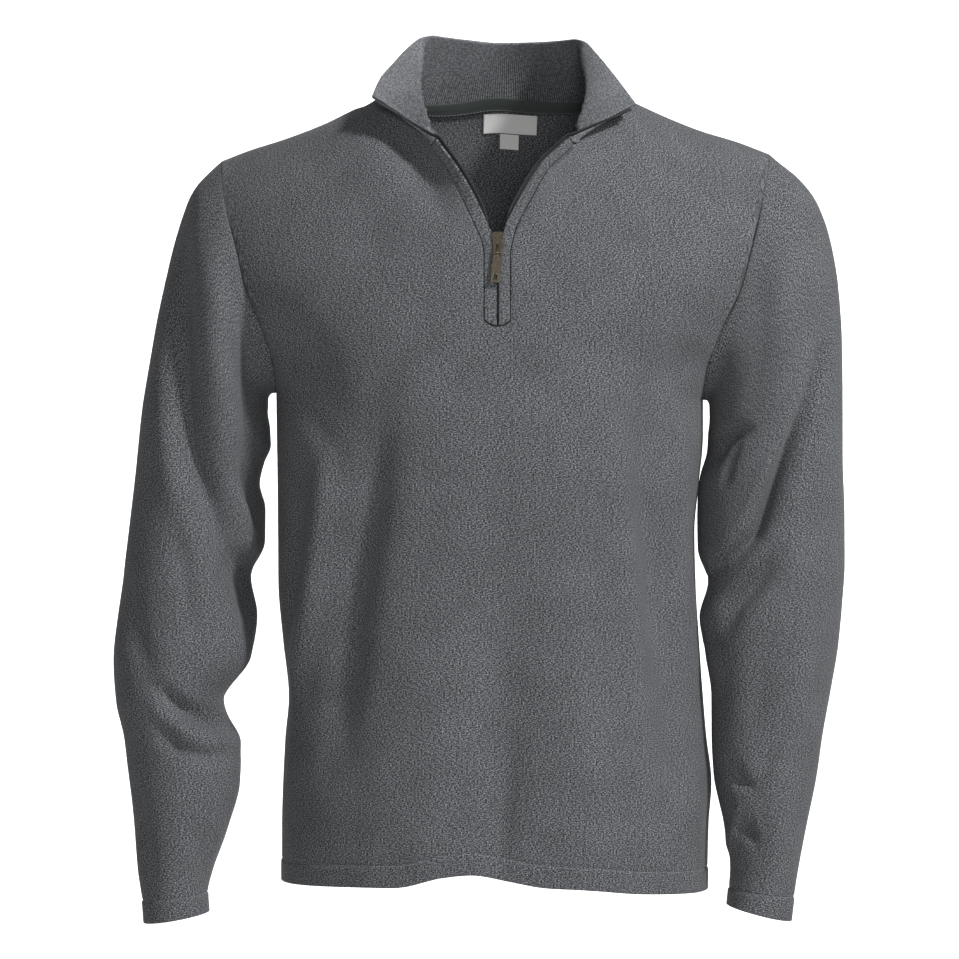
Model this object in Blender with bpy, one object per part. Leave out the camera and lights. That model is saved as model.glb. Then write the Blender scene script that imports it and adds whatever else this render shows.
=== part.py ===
"""A fine knit quarter zip sweatshirt, filled out as if it were worn, with nobody in it.

Metres, +Z up, +X to the right of someone who looks at its front, and the front faces -Y. The origin
is on the shoulder seams' line, at the height of the two high shoulder points beside the neck.

Every cloth piece is a wall: a smooth middle surface, worked out as a grid of points from the sizes and
the tables below, with a thickness to each side of it. Neighbours share the points of their seam, and
each ends half a seam gap short of it.
"""
import bpy
import numpy as np

# Cloth and seams
KNIT = 0.0020             # thickness of the fine jersey wall
HEM_EXTRA = 0.0008        # how far the turned hem and cuffs stand out past the plain wall
HEM_DEPTH = 0.019         # height of the turned hem and cuffs
SEAM_GAP = 0.0003         # air between two pieces that are sewn together
COLLAR = 0.0030           # thickness of the collar's two layers with the zip's tape between them
TAPE = 0.0008             # thickness of the zip's woven tapes
TAPE_BEHIND = KNIT / 2 + 3 * SEAM_GAP    # from the placket strip's middle to the tape behind it
TAPE_HIDDEN = 0.0045      # how far the tape reaches in behind the placket strip
TAPE_SHOWN = 0.0026       # and out past its edge, above the slider
TAPE_CLEAR = 0.0004       # air between the tape and an edge or the coil
TAPE_PARTS = -0.1280      # height above which the tapes part and show
TAPE_LEAVES = -0.1080     # height above which they come out from behind the strips
PLACKET_WIDTH = 0.0105    # knit strip on each side of the zip
LABEL = 0.0008

# How finely the surfaces are divided
ROWS_BODY = 9             # from the hem line up to the underarm
ROWS_BELOW_SLOT = 3       # from the underarm up to the foot of the zip's slot
ROWS_ABOVE_SLOT = 11      # from there to the shoulder seam and the neckline
COLS_SIDE = 6             # from the side seam or armhole to the high shoulder point
COLS_NECK = 5             # from there to the slot's edge
COLS_SLOT = 4             # across the slot
ROWS_SLEEVE = 20
ROWS_COLLAR = 6

# The torso, ring by ring: height, side seams' x, and how far it reaches to the front and the back
HEIGHT, LEFT, RIGHT, FRONT, BACK = range(5)
TORSO = np.array([
    (-0.700, -0.1880, 0.1835, 0.116, 0.112),
    (-0.640, -0.1880, 0.1850, 0.116, 0.112),
    (-0.605, -0.1870, 0.1875, 0.115, 0.110),
    (-0.565, -0.1850, 0.1830, 0.114, 0.107),
    (-0.530, -0.1820, 0.1800, 0.113, 0.104),
    (-0.480, -0.1870, 0.1765, 0.113, 0.101),
    (-0.430, -0.1912, 0.1735, 0.115, 0.101),
    (-0.385, -0.1915, 0.1725, 0.118, 0.104),
    (-0.345, -0.1918, 0.1760, 0.121, 0.109),
    (-0.300, -0.1925, 0.1800, 0.123, 0.113),
    (-0.262, -0.1930, 0.1800, 0.123, 0.114),
])
TORSO_SQUARENESS = 2.35   # exponent of the rings' superellipse
# The hem's lower edge across the front, from side seam to side seam
ACROSS, HEM_Z = range(2)
HEM = np.array([
    (-1.00, -0.6900), (-0.60, -0.6872), (-0.45, -0.6866), (-0.24, -0.6775), (-0.12, -0.6755),
    (0.06, -0.6812), (0.22, -0.6862), (0.40, -0.6882), (0.66, -0.6935), (1.00, -0.6975),
])
HEM_BACK = -0.6930

# Armholes, left and right: underarm height, shoulder point height, and half their depth front to back
UNDERARM_Z = {"left": -0.262, "right": -0.268}
SHOULDER_Z = {"left": -0.060, "right": -0.054}
ARMHOLE_DEPTH = 0.066
# x of the armhole seam by its rise from underarm (0) to shoulder point (1)
RISE, SEAM_LEFT, SEAM_RIGHT = range(3)
ARMHOLE = np.array([
    (0.00, -0.1930, 0.1800), (0.10, -0.1950, 0.1820), (0.25, -0.2020, 0.1905), (0.44, -0.2165, 0.2095),
    (0.60, -0.2245, 0.2185), (0.80, -0.2350, 0.2290), (1.00, -0.2410, 0.2385),
])
# The shoulder seam's height by x, from one shoulder point to the other
SEAM_X, SEAM_Z = range(2)
SHOULDER = np.array([
    (-0.2410, -0.0600), (-0.2140, -0.0500), (-0.1890, -0.0425), (-0.1510, -0.0285), (-0.1200, -0.0135),
    (-0.0900, 0.0000), (0.0030, 0.0060), (0.0960, 0.0000), (0.1240, -0.0120), (0.1500, -0.0235),
    (0.1790, -0.0345), (0.2100, -0.0435), (0.2385, -0.0540),
])
NECK_LEFT = -0.0900       # x of the high shoulder points, where shoulder seam and collar meet
NECK_RIGHT = 0.0960
ARCH_NECK = 3.0           # roundness of the slope from the chest to the shoulder seam, at the neck
ARCH_ARM = 2.3            # and at the armholes
BACK_NECK_LIFT = 0.030    # the back rises behind the neck
FRONT_NECK_ANGLE = 33.0   # where the front's and the back's neckline end, in degrees up the arch
BACK_NECK_ANGLE = 50.0

# The slot for the zip in the front, and its edges' x by height, which part above the slider
SLOT_FOOT = -0.203
SLOT_ROUND = 0.0050       # how much lower the slot's rounded foot is in its middle
EDGE_Z, EDGE_LEFT, EDGE_RIGHT = range(3)
SLOT = np.array([
    (-0.2100, -0.0117, 0.0107), (-0.1500, -0.0117, 0.0107), (-0.1380, -0.0132, 0.0126),
    (-0.1270, -0.0180, 0.0154), (-0.1110, -0.0252, 0.0232), (-0.0970, -0.0318, 0.0306),
    (-0.0760, -0.0428, 0.0432), (-0.0640, -0.0508, 0.0556), (-0.0545, -0.0580, 0.0662),
])
# Above the slider the two strips turn forwards, and the cloth beside them follows
TURN_FROM = -0.1300
TURN_OVER = 0.0750
STRIP_TURN = 54.0         # degrees that a strip has turned forwards at the neckline
EDGE_LIFT = 0.0070        # how far the cloth beside it has come forwards there

# Sleeves, ring by ring below the armhole: outer point, inner point, middle y, half depth
OUT_X, OUT_Z, IN_X, IN_Z, MID_Y, HALF_DEPTH = range(6)
SLEEVE = {
    "left": np.array([
        (-0.2500, -0.0680, -0.1985, -0.2630, 0.000, 0.0680),
        (-0.2640, -0.0830, -0.2010, -0.2690, 0.000, 0.0690),
        (-0.2780, -0.1080, -0.2010, -0.2800, -0.001, 0.0690),
        (-0.2890, -0.1450, -0.1995, -0.2940, -0.002, 0.0680),
        (-0.2970, -0.1900, -0.1990, -0.3090, -0.003, 0.0665),
        (-0.3040, -0.2350, -0.2040, -0.3250, -0.004, 0.0650),
        (-0.3110, -0.2800, -0.2070, -0.3430, -0.005, 0.0630),
        (-0.3160, -0.3300, -0.2030, -0.3660, -0.006, 0.0610),
        (-0.3215, -0.3780, -0.2035, -0.3940, -0.007, 0.0590),
        (-0.3265, -0.4200, -0.2155, -0.4250, -0.009, 0.0570),
        (-0.3315, -0.4580, -0.2100, -0.4580, -0.011, 0.0560),
        (-0.3350, -0.4960, -0.2165, -0.4950, -0.014, 0.0550),
        (-0.3325, -0.5320, -0.2400, -0.5330, -0.017, 0.0520),
        (-0.3250, -0.5650, -0.2245, -0.5700, -0.020, 0.0500),
        (-0.3210, -0.5980, -0.2255, -0.6030, -0.023, 0.0470),
        (-0.3160, -0.6400, -0.2360, -0.6430, -0.027, 0.0420),
        (-0.3120, -0.6800, -0.2480, -0.6790, -0.031, 0.0370),
        (-0.3075, -0.7080, -0.2530, -0.7010, -0.034, 0.0340),
        (-0.3060, -0.7245, -0.2520, -0.7150, -0.036, 0.0330),
    ]),
    "right": np.array([
        (0.2480, -0.0620, 0.1850, -0.2690, 0.000, 0.0680),
        (0.2640, -0.0750, 0.1870, -0.2750, 0.000, 0.0690),
        (0.2800, -0.0960, 0.1868, -0.2860, -0.001, 0.0690),
        (0.2920, -0.1300, 0.1855, -0.2990, -0.002, 0.0680),
        (0.2990, -0.1720, 0.1835, -0.3140, -0.003, 0.0665),
        (0.3020, -0.2200, 0.1800, -0.3310, -0.004, 0.0650),
        (0.3025, -0.2700, 0.1772, -0.3510, -0.005, 0.0630),
        (0.3025, -0.3200, 0.1768, -0.3740, -0.006, 0.0610),
        (0.3040, -0.3700, 0.1772, -0.4000, -0.007, 0.0590),
        (0.3040, -0.4100, 0.1860, -0.4290, -0.009, 0.0570),
        (0.3015, -0.4480, 0.1785, -0.4600, -0.011, 0.0560),
        (0.2975, -0.4860, 0.1835, -0.4930, -0.014, 0.0550),
        (0.2905, -0.5250, 0.1885, -0.5290, -0.017, 0.0520),
        (0.2835, -0.5620, 0.1885, -0.5620, -0.020, 0.0500),
        (0.2780, -0.5980, 0.1900, -0.5960, -0.023, 0.0470),
        (0.2690, -0.6400, 0.1985, -0.6380, -0.027, 0.0420),
        (0.2610, -0.6800, 0.2040, -0.6760, -0.031, 0.0370),
        (0.2570, -0.7040, 0.2025, -0.6960, -0.034, 0.0340),
        (0.2545, -0.7225, 0.2010, -0.7090, -0.036, 0.0330),
    ]),
}

# The collar's folded top edge by its share of the way round from the left zip edge to the right one,
# and how far the middle of the collar is drawn in towards the neck there
WAY, TOP_X, TOP_Y, TOP_Z, DRAWN_IN = range(5)
COLLAR_TOP = np.array([
    (0.000, -0.1065, -0.088, -0.0120, 0.000),
    (0.080, -0.1000, -0.067, 0.0055, 0.000),
    (0.150, -0.0890, -0.044, 0.0215, 0.002),
    (0.210, -0.0775, -0.017, 0.0375, 0.003),
    (0.270, -0.0655, 0.008, 0.0495, 0.001),
    (0.330, -0.0540, 0.030, 0.0535, -0.003),
    (0.410, -0.0290, 0.050, 0.0525, -0.003),
    (0.500, 0.0030, 0.058, 0.0505, -0.003),
    (0.590, 0.0380, 0.051, 0.0505, -0.003),
    (0.670, 0.0660, 0.031, 0.0505, -0.003),
    (0.730, 0.0765, 0.008, 0.0460, 0.001),
    (0.790, 0.0850, -0.017, 0.0340, 0.003),
    (0.850, 0.0945, -0.041, 0.0190, 0.002),
    (0.920, 0.1055, -0.063, 0.0015, 0.000),
    (1.000, 0.1180, -0.083, -0.0185, 0.000),
])

# Large folds, as lines in the front view: two ends, half width, and depth (in is positive)
FOLD_X0, FOLD_Z0, FOLD_X1, FOLD_Z1, FOLD_WIDTH, FOLD_DEPTH = range(6)
FOLDS = {
    "front": np.array([
        (-0.100, -0.300, -0.132, -0.500, 0.026, 0.0060),
        (-0.142, -0.330, -0.166, -0.520, 0.018, -0.0040),
        (0.121, -0.290, 0.150, -0.520, 0.026, 0.0060),
        (0.104, -0.300, 0.124, -0.540, 0.020, -0.0030),
        (0.010, -0.400, 0.002, -0.670, 0.034, 0.0045),
        (-0.060, -0.480, -0.070, -0.680, 0.030, -0.0030),
        (0.070, -0.500, 0.078, -0.680, 0.034, -0.0030),
    ]),
    "back": np.array([
        (-0.090, -0.330, -0.110, -0.560, 0.028, 0.0060),
        (0.100, -0.320, 0.118, -0.570, 0.028, 0.0060),
        (0.010, -0.420, -0.004, -0.660, 0.034, 0.0050),
        (-0.045, -0.130, 0.050, -0.135, 0.022, 0.0030),
    ]),
}

SLEEVE_FOLDS = {
    "left front": np.array([
        (-0.285, -0.170, -0.279, -0.287, 0.012, 0.0050),
        (-0.279, -0.280, -0.226, -0.450, 0.012, 0.0060),
        (-0.258, -0.230, -0.252, -0.330, 0.012, -0.0030),
        (-0.305, -0.530, -0.238, -0.562, 0.011, 0.0050),
    ]),
    "left back": np.array([
        (-0.262, -0.200, -0.250, -0.330, 0.016, 0.0050),
        (-0.290, -0.340, -0.245, -0.430, 0.014, 0.0045),
        (-0.315, -0.500, -0.250, -0.520, 0.012, 0.0045),
        (-0.305, -0.590, -0.250, -0.600, 0.012, 0.0035),
    ]),
    "right front": np.array([
        (0.278, -0.245, 0.200, -0.395, 0.011, 0.0055),
        (0.222, -0.292, 0.188, -0.322, 0.010, 0.0035),
        (0.236, -0.420, 0.190, -0.478, 0.011, 0.0045),
        (0.246, -0.585, 0.224, -0.615, 0.010, 0.0035),
    ]),
    "right back": np.array([
        (0.262, -0.200, 0.240, -0.330, 0.016, 0.0050),
        (0.285, -0.370, 0.215, -0.440, 0.014, 0.0045),
        (0.275, -0.510, 0.210, -0.520, 0.012, 0.0045),
        (0.260, -0.600, 0.205, -0.605, 0.012, 0.0035),
    ]),
}

# The metal slider and its pull tab; heights are measured at the zip's middle line
SLIDER_TOP = -0.1295
SLIDER_LENGTH = 0.0185
SLIDER_WIDTH_TOP = 0.0096
SLIDER_WIDTH_FOOT = 0.0076
SLIDER_PLATE = 0.0015
HINGE_Z = -0.1440
HINGE_STAND = 0.0012      # from the slider's front plate to the hinge's axis
BRIDGE_BAR = 0.0012
BRIDGE_WIDTH = 0.0018
BRIDGE_OPENING = 0.0044
PULL_LENGTH = 0.0300
PULL_WIDTH_TOP = 0.0068
PULL_WIDTH_FOOT = 0.0082
PULL_PLATE = 0.0014
PULL_LEAN = 4.5           # degrees that the tab hangs to the left
CHAIN_WIDTH = 0.0020
CHAIN_PLATE = 0.0016

# Bare label and tab inside the back of the neck: left, right, top, foot
LABEL_BOX = (-0.0120, 0.0362, -0.0085, -0.0255)
TAB_BOX = (0.0030, 0.0200, -0.0262, -0.0395)
NECK_TAPE_HEIGHT = 0.0080

COLOURS = {
    "knit": (0.078, 0.086, 0.094), "rib": (0.070, 0.076, 0.083), "neck_tape": (0.048, 0.058, 0.053),
    "label": (0.80, 0.80, 0.79), "zip_tape": (0.030, 0.031, 0.034), "zip": (0.045, 0.043, 0.040),
    "gunmetal": (0.150, 0.135, 0.115),
}


def clear_scene():
    for thing in list(bpy.data.objects):
        bpy.data.objects.remove(thing, do_unlink=True)


def smooth(xs, ys, at):
    """Smooth curve through the values ys at xs, by piecewise cubics that never overshoot."""
    at = np.clip(at, xs[0], xs[-1])
    lift = (slice(None),) + (None,) * (ys.ndim - 1)
    step = np.diff(xs)
    rate = np.diff(ys, axis=0) / step[lift]
    same_way = rate[1:] * rate[:-1] > 0
    both = np.where(same_way, rate[1:] + rate[:-1], 1.0)
    inner = np.where(same_way, 2 * rate[1:] * rate[:-1] / both, 0.0)
    slope = np.concatenate((rate[:1], inner, rate[-1:]))
    k = np.clip(np.searchsorted(xs, at, side="right") - 1, 0, len(step) - 1)
    u = (at - xs[k]) / step[k]
    width = step[k]
    if ys.ndim > 1:
        u, width = u[lift], width[lift]
    bend = 3 * rate[k] - 2 * slope[k] - slope[k + 1]
    twist = slope[k] + slope[k + 1] - 2 * rate[k]
    return ys[k] + width * u * (slope[k] + u * (bend + twist * u))


def through(table, column, at, along=0):
    """Smooth curve through one column of a table."""
    return smooth(table[:, along], table[:, column], at)


def unit(vectors):
    length = np.linalg.norm(vectors, axis=-1, keepdims=True)
    return vectors / np.maximum(length, 1e-12)


def soft_step(x):
    """0 below 0, 1 above 1, and a smooth rise between them."""
    x = np.clip(x, 0, 1)
    return x * x * (3 - 2 * x)


# ---------------------------------------------------------------- the torso's surface
def armhole(side, rise_angle, facing):
    """Point of an armhole seam: an ellipse seen from the side, from the underarm over the shoulder."""
    rise = (1 + np.sin(rise_angle)) / 2
    x = through(ARMHOLE, SEAM_LEFT if side == "left" else SEAM_RIGHT, rise)
    z = UNDERARM_Z[side] + (SHOULDER_Z[side] - UNDERARM_Z[side]) * rise
    y = facing * ARMHOLE_DEPTH * np.cos(rise_angle)
    return np.stack([x, y, z], axis=-1)


def fold_field(points, folds):
    """Depth of all the folds at each point, by its distance from each fold's line in the front view."""
    depth = np.zeros(points.shape[:-1])
    for fold in folds:
        start = np.array([fold[FOLD_X0], fold[FOLD_Z0]])
        run = np.array([fold[FOLD_X1], fold[FOLD_Z1]]) - start
        away = points[..., [0, 2]] - start
        along = away @ run / (run @ run)
        across = np.abs(away @ np.array([-run[1], run[0]])) / np.linalg.norm(run)
        ends = soft_step((along + 0.15) / 0.35) * soft_step((1.15 - along) / 0.35)
        depth += fold[FOLD_DEPTH] * ends * np.exp(-(across / fold[FOLD_WIDTH]) ** 2)
    return depth


def torso(across, level, facing):
    """Torso surface at a share across (-1 left to 1 right) and a level.

    Levels 0 to 1 run from the hem to the underarm as superellipse rings. Levels 1 to 2 run up the arch
    from the chest to the shoulder seam, where each row is bounded by the armhole seams. Facing is -1
    for the front and 1 for the back.
    """
    across, level = np.broadcast_arrays(np.asarray(across, float), np.asarray(level, float))
    share = (1 + across) / 2
    under = (1 - share) * UNDERARM_Z["left"] + share * UNDERARM_Z["right"]
    hem = through(HEM, HEM_Z, across) if facing < 0 else np.full_like(under, HEM_BACK)
    hem = np.where(np.abs(across) > 0.98, through(HEM, HEM_Z, across), hem)
    low = np.clip(level, 0, 1)
    z_low = hem + (under - hem) * low
    reach = FRONT if facing < 0 else BACK
    round_share = np.maximum(1 - np.abs(across) ** TORSO_SQUARENESS, 0) ** (1 / TORSO_SQUARENESS)
    left_low, right_low = through(TORSO, LEFT, z_low), through(TORSO, RIGHT, z_low)
    x_low = (1 - share) * left_low + share * right_low
    y_low = facing * through(TORSO, reach, z_low) * round_share
    # the upper part
    angle = np.radians(-90 + 180 * np.clip(level - 1, 0, 1))
    left, right = armhole("left", angle, facing), armhole("right", angle, facing)
    x_up = (1 - share) * left[..., 0] + share * right[..., 0]
    rise = (1 + np.sin(angle)) / 2
    top_x = (1 - share) * ARMHOLE[-1, SEAM_LEFT] + share * ARMHOLE[-1, SEAM_RIGHT]
    top = through(SHOULDER, SEAM_Z, top_x)
    if facing > 0:
        middle = (NECK_LEFT + NECK_RIGHT) / 2
        half = (NECK_RIGHT - NECK_LEFT) / 2
        top = top + BACK_NECK_LIFT * np.maximum(1 - ((top_x - middle) / half) ** 2, 0)
    z_up = under + (top - under) * rise
    power = ARCH_NECK + (ARCH_ARM - ARCH_NECK) * across ** 2
    arch = np.maximum(1 - rise ** power, 0) ** (1 / power)
    chest = through(TORSO, reach, under)
    at_arm = (ARMHOLE_DEPTH * np.cos(angle)) ** 2
    y_up = facing * np.sqrt(at_arm + ((chest * arch) ** 2 - at_arm) * round_share ** 2)
    upper = level > 1
    return np.stack([np.where(upper, x_up, x_low), np.where(upper, y_up, y_low),
                     np.where(upper, z_up, z_low)], axis=-1)


def share_across(x):
    """Share across the torso of an x on the shoulder line."""
    left, right = ARMHOLE[-1, SEAM_LEFT], ARMHOLE[-1, SEAM_RIGHT]
    return 2 * (x - left) / (right - left) - 1


def columns(facing):
    """Shares across for the columns of a panel, denser towards the side seams and the neck points."""
    neck_left, neck_right = share_across(NECK_LEFT), share_across(NECK_RIGHT)
    slot_left, slot_right = -0.060, 0.055
    side = np.sin(np.pi / 2 * np.linspace(0, 1, COLS_SIDE + 1))
    left_side = -1 + (1 + neck_left) * (1 - side[::-1])
    right_side = neck_right + (1 - neck_right) * side
    even = np.linspace(0, 1, COLS_NECK + 1)
    ease = (even + np.sin(np.pi / 2 * even)) / 2
    left_neck = slot_left + (neck_left - slot_left) * ease[::-1]
    right_neck = slot_right + (neck_right - slot_right) * ease
    slot = np.linspace(slot_left, slot_right, COLS_SLOT + 1)
    return np.concatenate([left_side[:-1], left_neck[:-1], slot, right_neck[1:], right_side[1:]])


def neck_angle(across, facing):
    """How far up the arch a column ends: at the shoulder seam, or on the neckline.

    The back's neckline is two quarter ellipses. The front's runs more straight from the shoulder
    seam to the corner of the open slot, because the collar lies open there.
    """
    end = FRONT_NECK_ANGLE if facing < 0 else BACK_NECK_ANGLE
    edge = np.where(across < 0, -0.060, 0.055)
    neck = np.where(across < 0, share_across(NECK_LEFT), share_across(NECK_RIGHT))
    part = np.clip((across - edge) / (neck - edge), 0, 1)
    inside = (across > share_across(NECK_LEFT)) & (across < share_across(NECK_RIGHT))
    below = (1 - part ** 1.4) ** 0.76 if facing < 0 else np.sqrt(1 - part ** 2)
    return np.where(inside, 90 - (90 - end) * below, 90.0)


def arch_angles(top):
    """Angles up the arch of the rows above the underarm, for columns that end at the angles top."""
    foot_rise = (SLOT_FOOT - UNDERARM_Z["left"]) / (0.004 - UNDERARM_Z["left"])
    foot = np.degrees(np.arcsin(2 * foot_rise - 1))
    below = np.linspace(-90, foot, ROWS_BELOW_SLOT + 1)[1:]
    parts = np.linspace(0, 1, ROWS_ABOVE_SLOT + 1)[1:]
    above = foot + (top[None, :] - foot) * parts[:, None]
    return np.concatenate([np.repeat(below[:, None], len(top), axis=1), above])


def panel(facing):
    """Grid of a torso panel's middle surface: rows from the hem up, columns from left to right."""
    across = columns(facing)
    hem = HEM_DEPTH / (UNDERARM_Z["left"] - HEM_BACK)
    low = np.concatenate([[0, hem], np.linspace(hem + 0.004, 1, ROWS_BODY + 1)])
    top = neck_angle(across, facing)
    upper = arch_angles(top)
    levels = np.concatenate([np.repeat(low[:, None], len(across), axis=1), 1 + (upper + 90) / 180])
    grid = torso(across[None, :], levels, facing)
    if facing < 0:
        grid = open_slot(grid, across)
        return crease(grid, across, FOLDS["front"])
    return crease(grid[:, ::-1], across[::-1], FOLDS["back"])


def open_slot(grid, across):
    """Move the columns beside the zip so that the slot's edges lie where the table puts them."""
    left, right = COLS_SIDE + COLS_NECK, COLS_SIDE + COLS_NECK + COLS_SLOT
    x, z = grid[..., 0].copy(), grid[..., 2]
    shift_left = through(SLOT, EDGE_LEFT, z[:, left]) - x[:, left]
    shift_right = through(SLOT, EDGE_RIGHT, z[:, right]) - x[:, right]
    neck_left, neck_right = share_across(NECK_LEFT), share_across(NECK_RIGHT)
    fade_left = np.clip((across - neck_left) / (across[left] - neck_left), 0, 1)
    fade_right = np.clip((neck_right - across) / (neck_right - across[right]), 0, 1)
    between = np.clip((across - across[left]) / (across[right] - across[left]), 0, 1)
    weight_left = np.where(across <= across[left], fade_left, 1 - between)
    weight_right = np.where(across >= across[right], fade_right, between)
    grid[..., 0] = x + shift_left[:, None] * weight_left + shift_right[:, None] * weight_right
    roll = soft_step((z - TURN_FROM) / TURN_OVER)
    grid[..., 1] -= EDGE_LIFT * roll * np.maximum(weight_left, weight_right) ** 2
    # the slot's rounded foot
    foot_row = foot_of_slot()
    dip = SLOT_ROUND * (1 - (2 * between - 1) ** 2)
    for row, share in ((foot_row, 1.0), (foot_row - 1, 0.5), (foot_row - 2, 0.2)):
        grid[row, :, 2] -= share * dip
    return grid


def foot_of_slot():
    return 2 + ROWS_BODY + ROWS_BELOW_SLOT


def crease(grid, across, folds):
    """Press the folds into a panel along its normals, fading towards its side edges and the neck."""
    depth = fold_field(grid, folds)
    side = soft_step((1 - np.abs(across)) / 0.12)
    return grid - normals(grid) * (depth * side)[..., None]


def normals(grid, wrap=False):
    """Unit normals of a grid of points, rows upwards and columns to the left hand when outside."""
    along = np.gradient(grid, axis=0)
    if wrap:
        around = np.roll(grid, -1, axis=1) - np.roll(grid, 1, axis=1)
    else:
        around = np.gradient(grid, axis=1)
    return unit(np.cross(around, along))


# ---------------------------------------------------------------- walls
def wall(name, grid, outer, inner, material, normal=None, keep=None, wrap=False):
    """A closed wall round a middle surface: outer and inner are its thickness to each side."""
    rows, cols = grid.shape[:2]
    if normal is None:
        normal = normals(grid, wrap)
    outer = np.broadcast_to(np.asarray(outer, float), (rows, cols))[..., None]
    inner = np.broadcast_to(np.asarray(inner, float), (rows, cols))[..., None]
    points = np.concatenate([(grid + normal * outer).reshape(-1, 3), (grid - normal * inner).reshape(-1, 3)])
    number = np.arange(rows * cols).reshape(rows, cols)
    last = cols if wrap else cols - 1
    faces, border = [], {}
    for i in range(rows - 1):
        for j in range(last):
            if keep is not None and not keep[i, j]:
                continue
            right = (j + 1) % cols
            a, b, c, d = number[i, j], number[i, right], number[i + 1, right], number[i + 1, j]
            faces.append((a, b, c, d))
            for edge in ((a, b), (b, c), (c, d), (d, a)):
                if edge[::-1] in border:
                    del border[edge[::-1]]
                else:
                    border[edge] = True
    half = rows * cols
    solid = list(faces)
    solid += [tuple(half + n for n in reversed(face)) for face in faces]
    solid += [(b, a, half + a, half + b) for a, b in border]
    return make(name, points, solid, material)


def make(name, points, faces, material):
    """One closed mesh object, without loose points, shaded smooth with its sharp rims kept."""
    points = np.asarray(points, float)
    used = sorted({n for face in faces for n in face})
    place = {n: k for k, n in enumerate(used)}
    mesh = bpy.data.meshes.new(name)
    mesh.from_pydata([tuple(points[n]) for n in used], [], [tuple(place[n] for n in face) for face in faces])
    mesh.materials.append(material)
    mesh.update()
    mesh.shade_smooth()
    mesh.set_sharp_from_angle(angle=np.radians(50))
    thing = bpy.data.objects.new(name, mesh)
    bpy.context.scene.collection.objects.link(thing)
    return thing


def material(name, colour, roughness, metallic=0.0):
    made = bpy.data.materials.new(name)
    made.use_nodes = True
    shader = made.node_tree.nodes["Principled BSDF"]
    shader.inputs["Base Color"].default_value = (*colour, 1.0)
    shader.inputs["Roughness"].default_value = roughness
    shader.inputs["Metallic"].default_value = metallic
    return made


# ---------------------------------------------------------------- seams
def mitre(one, other):
    """Direction in which two walls share their seam, as long as both thicknesses need it to be."""
    agree = np.clip(np.sum(one * other, axis=-1, keepdims=True), -0.3, 1)
    return (one + other) / (1 + agree)


def pull_in(grid, rim, inside, distance=SEAM_GAP / 2):
    """Shorten a piece by moving its rim towards the points just inside it."""
    grid[rim] = grid[rim] + unit(grid[inside] - grid[rim]) * distance


UNDERARM_ROW = 2 + ROWS_BODY
LEFT_EDGE = COLS_SIDE + COLS_NECK
RIGHT_EDGE = LEFT_EDGE + COLS_SLOT


# ---------------------------------------------------------------- sleeves
def sleeve(side, loop, angles, lengthwise):
    """Sleeve's middle surface: rings below the armhole loop, each a half ellipse to front and back."""
    table = SLEEVE[side]
    outer = np.stack([table[:, OUT_X], table[:, MID_Y], table[:, OUT_Z]], axis=-1)
    inner = np.stack([table[:, IN_X], table[:, MID_Y], table[:, IN_Z]], axis=-1)
    turn = -1 if side == "left" else 1
    rings = (outer + inner)[:, None] / 2 + (inner - outer)[:, None] / 2 * np.cos(angles)[None, :, None]
    rings[..., 1] += turn * table[:, HALF_DEPTH][:, None] * np.sin(angles)[None, :]
    rings = np.concatenate([loop[None], rings])
    length = np.linalg.norm(np.diff(rings, axis=0), axis=-1).mean(axis=1)
    station = np.concatenate([[0], np.cumsum(length)])
    grid = smooth(station, rings, lengthwise * station[-1])
    return press_sleeve(grid, side)


def press_sleeve(grid, side):
    """Press the sleeve's folds into its front and its back, fading at the armhole and the cuff."""
    normal = normals(grid, wrap=True)
    ends = soft_step(np.linspace(0, 8, grid.shape[0])) * soft_step(np.linspace(12, 0, grid.shape[0]))
    for facing, half in ((-1, "front"), (1, "back")):
        depth = fold_field(grid, SLEEVE_FOLDS[side + " " + half])
        weight = soft_step(facing * normal[..., 1] / 0.5)
        grid = grid - normal * (depth * weight * ends[:, None])[..., None]
    return grid


def sleeve_stations():
    """Shares of the sleeve's length at which it has a ring: closer at the underarm and at the cuff."""
    start = np.array([0, 0.012, 0.026, 0.046, 0.075])
    cuff = 1 - HEM_DEPTH / 0.60
    return np.concatenate([start, np.linspace(0.110, cuff - 0.003, ROWS_SLEEVE - 6), [cuff, 1.0]])


# ---------------------------------------------------------------- collar
def collar_ply(base, way):
    """The collar's middle surface: from the neckline up to its folded top edge, bowed between them."""
    top = np.stack([through(COLLAR_TOP, column, way) for column in (TOP_X, TOP_Y, TOP_Z)], axis=-1)
    drawn = through(COLLAR_TOP, DRAWN_IN, way)
    centre = np.array([(NECK_LEFT + NECK_RIGHT) / 2, 0.0, 0.0])
    inward = centre - base
    inward[:, 2] = 0
    inward = unit(inward)
    rise = np.linspace(0, 1, ROWS_COLLAR + 1)[:, None, None]
    return base + (top - base) * rise + inward * drawn[:, None] * 4 * rise * (1 - rise)


def calm(field, times):
    """Even out a field of directions or points along its columns, whose two ends stay."""
    for _ in range(times):
        field = field.copy()
        field[:, 1:-1] = (field[:, :-2] + 2 * field[:, 1:-1] + field[:, 2:]) / 4
    return field


# ---------------------------------------------------------------- hard pieces
def plate(name, outline, thickness, place, material):
    """A flat plate from an outline in its own plane, put in place by a 4 by 4 frame."""
    count = len(outline)
    points = [(x, y, z) for z in (thickness / 2, -thickness / 2) for x, y in outline]
    points = np.array(points) @ place[:3, :3].T + place[:3, 3]
    faces = [tuple(range(count)), tuple(range(2 * count - 1, count - 1, -1))]
    faces += [((k + 1) % count, k, count + k, count + (k + 1) % count) for k in range(count)]
    return make(name, points, faces, material)


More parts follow.
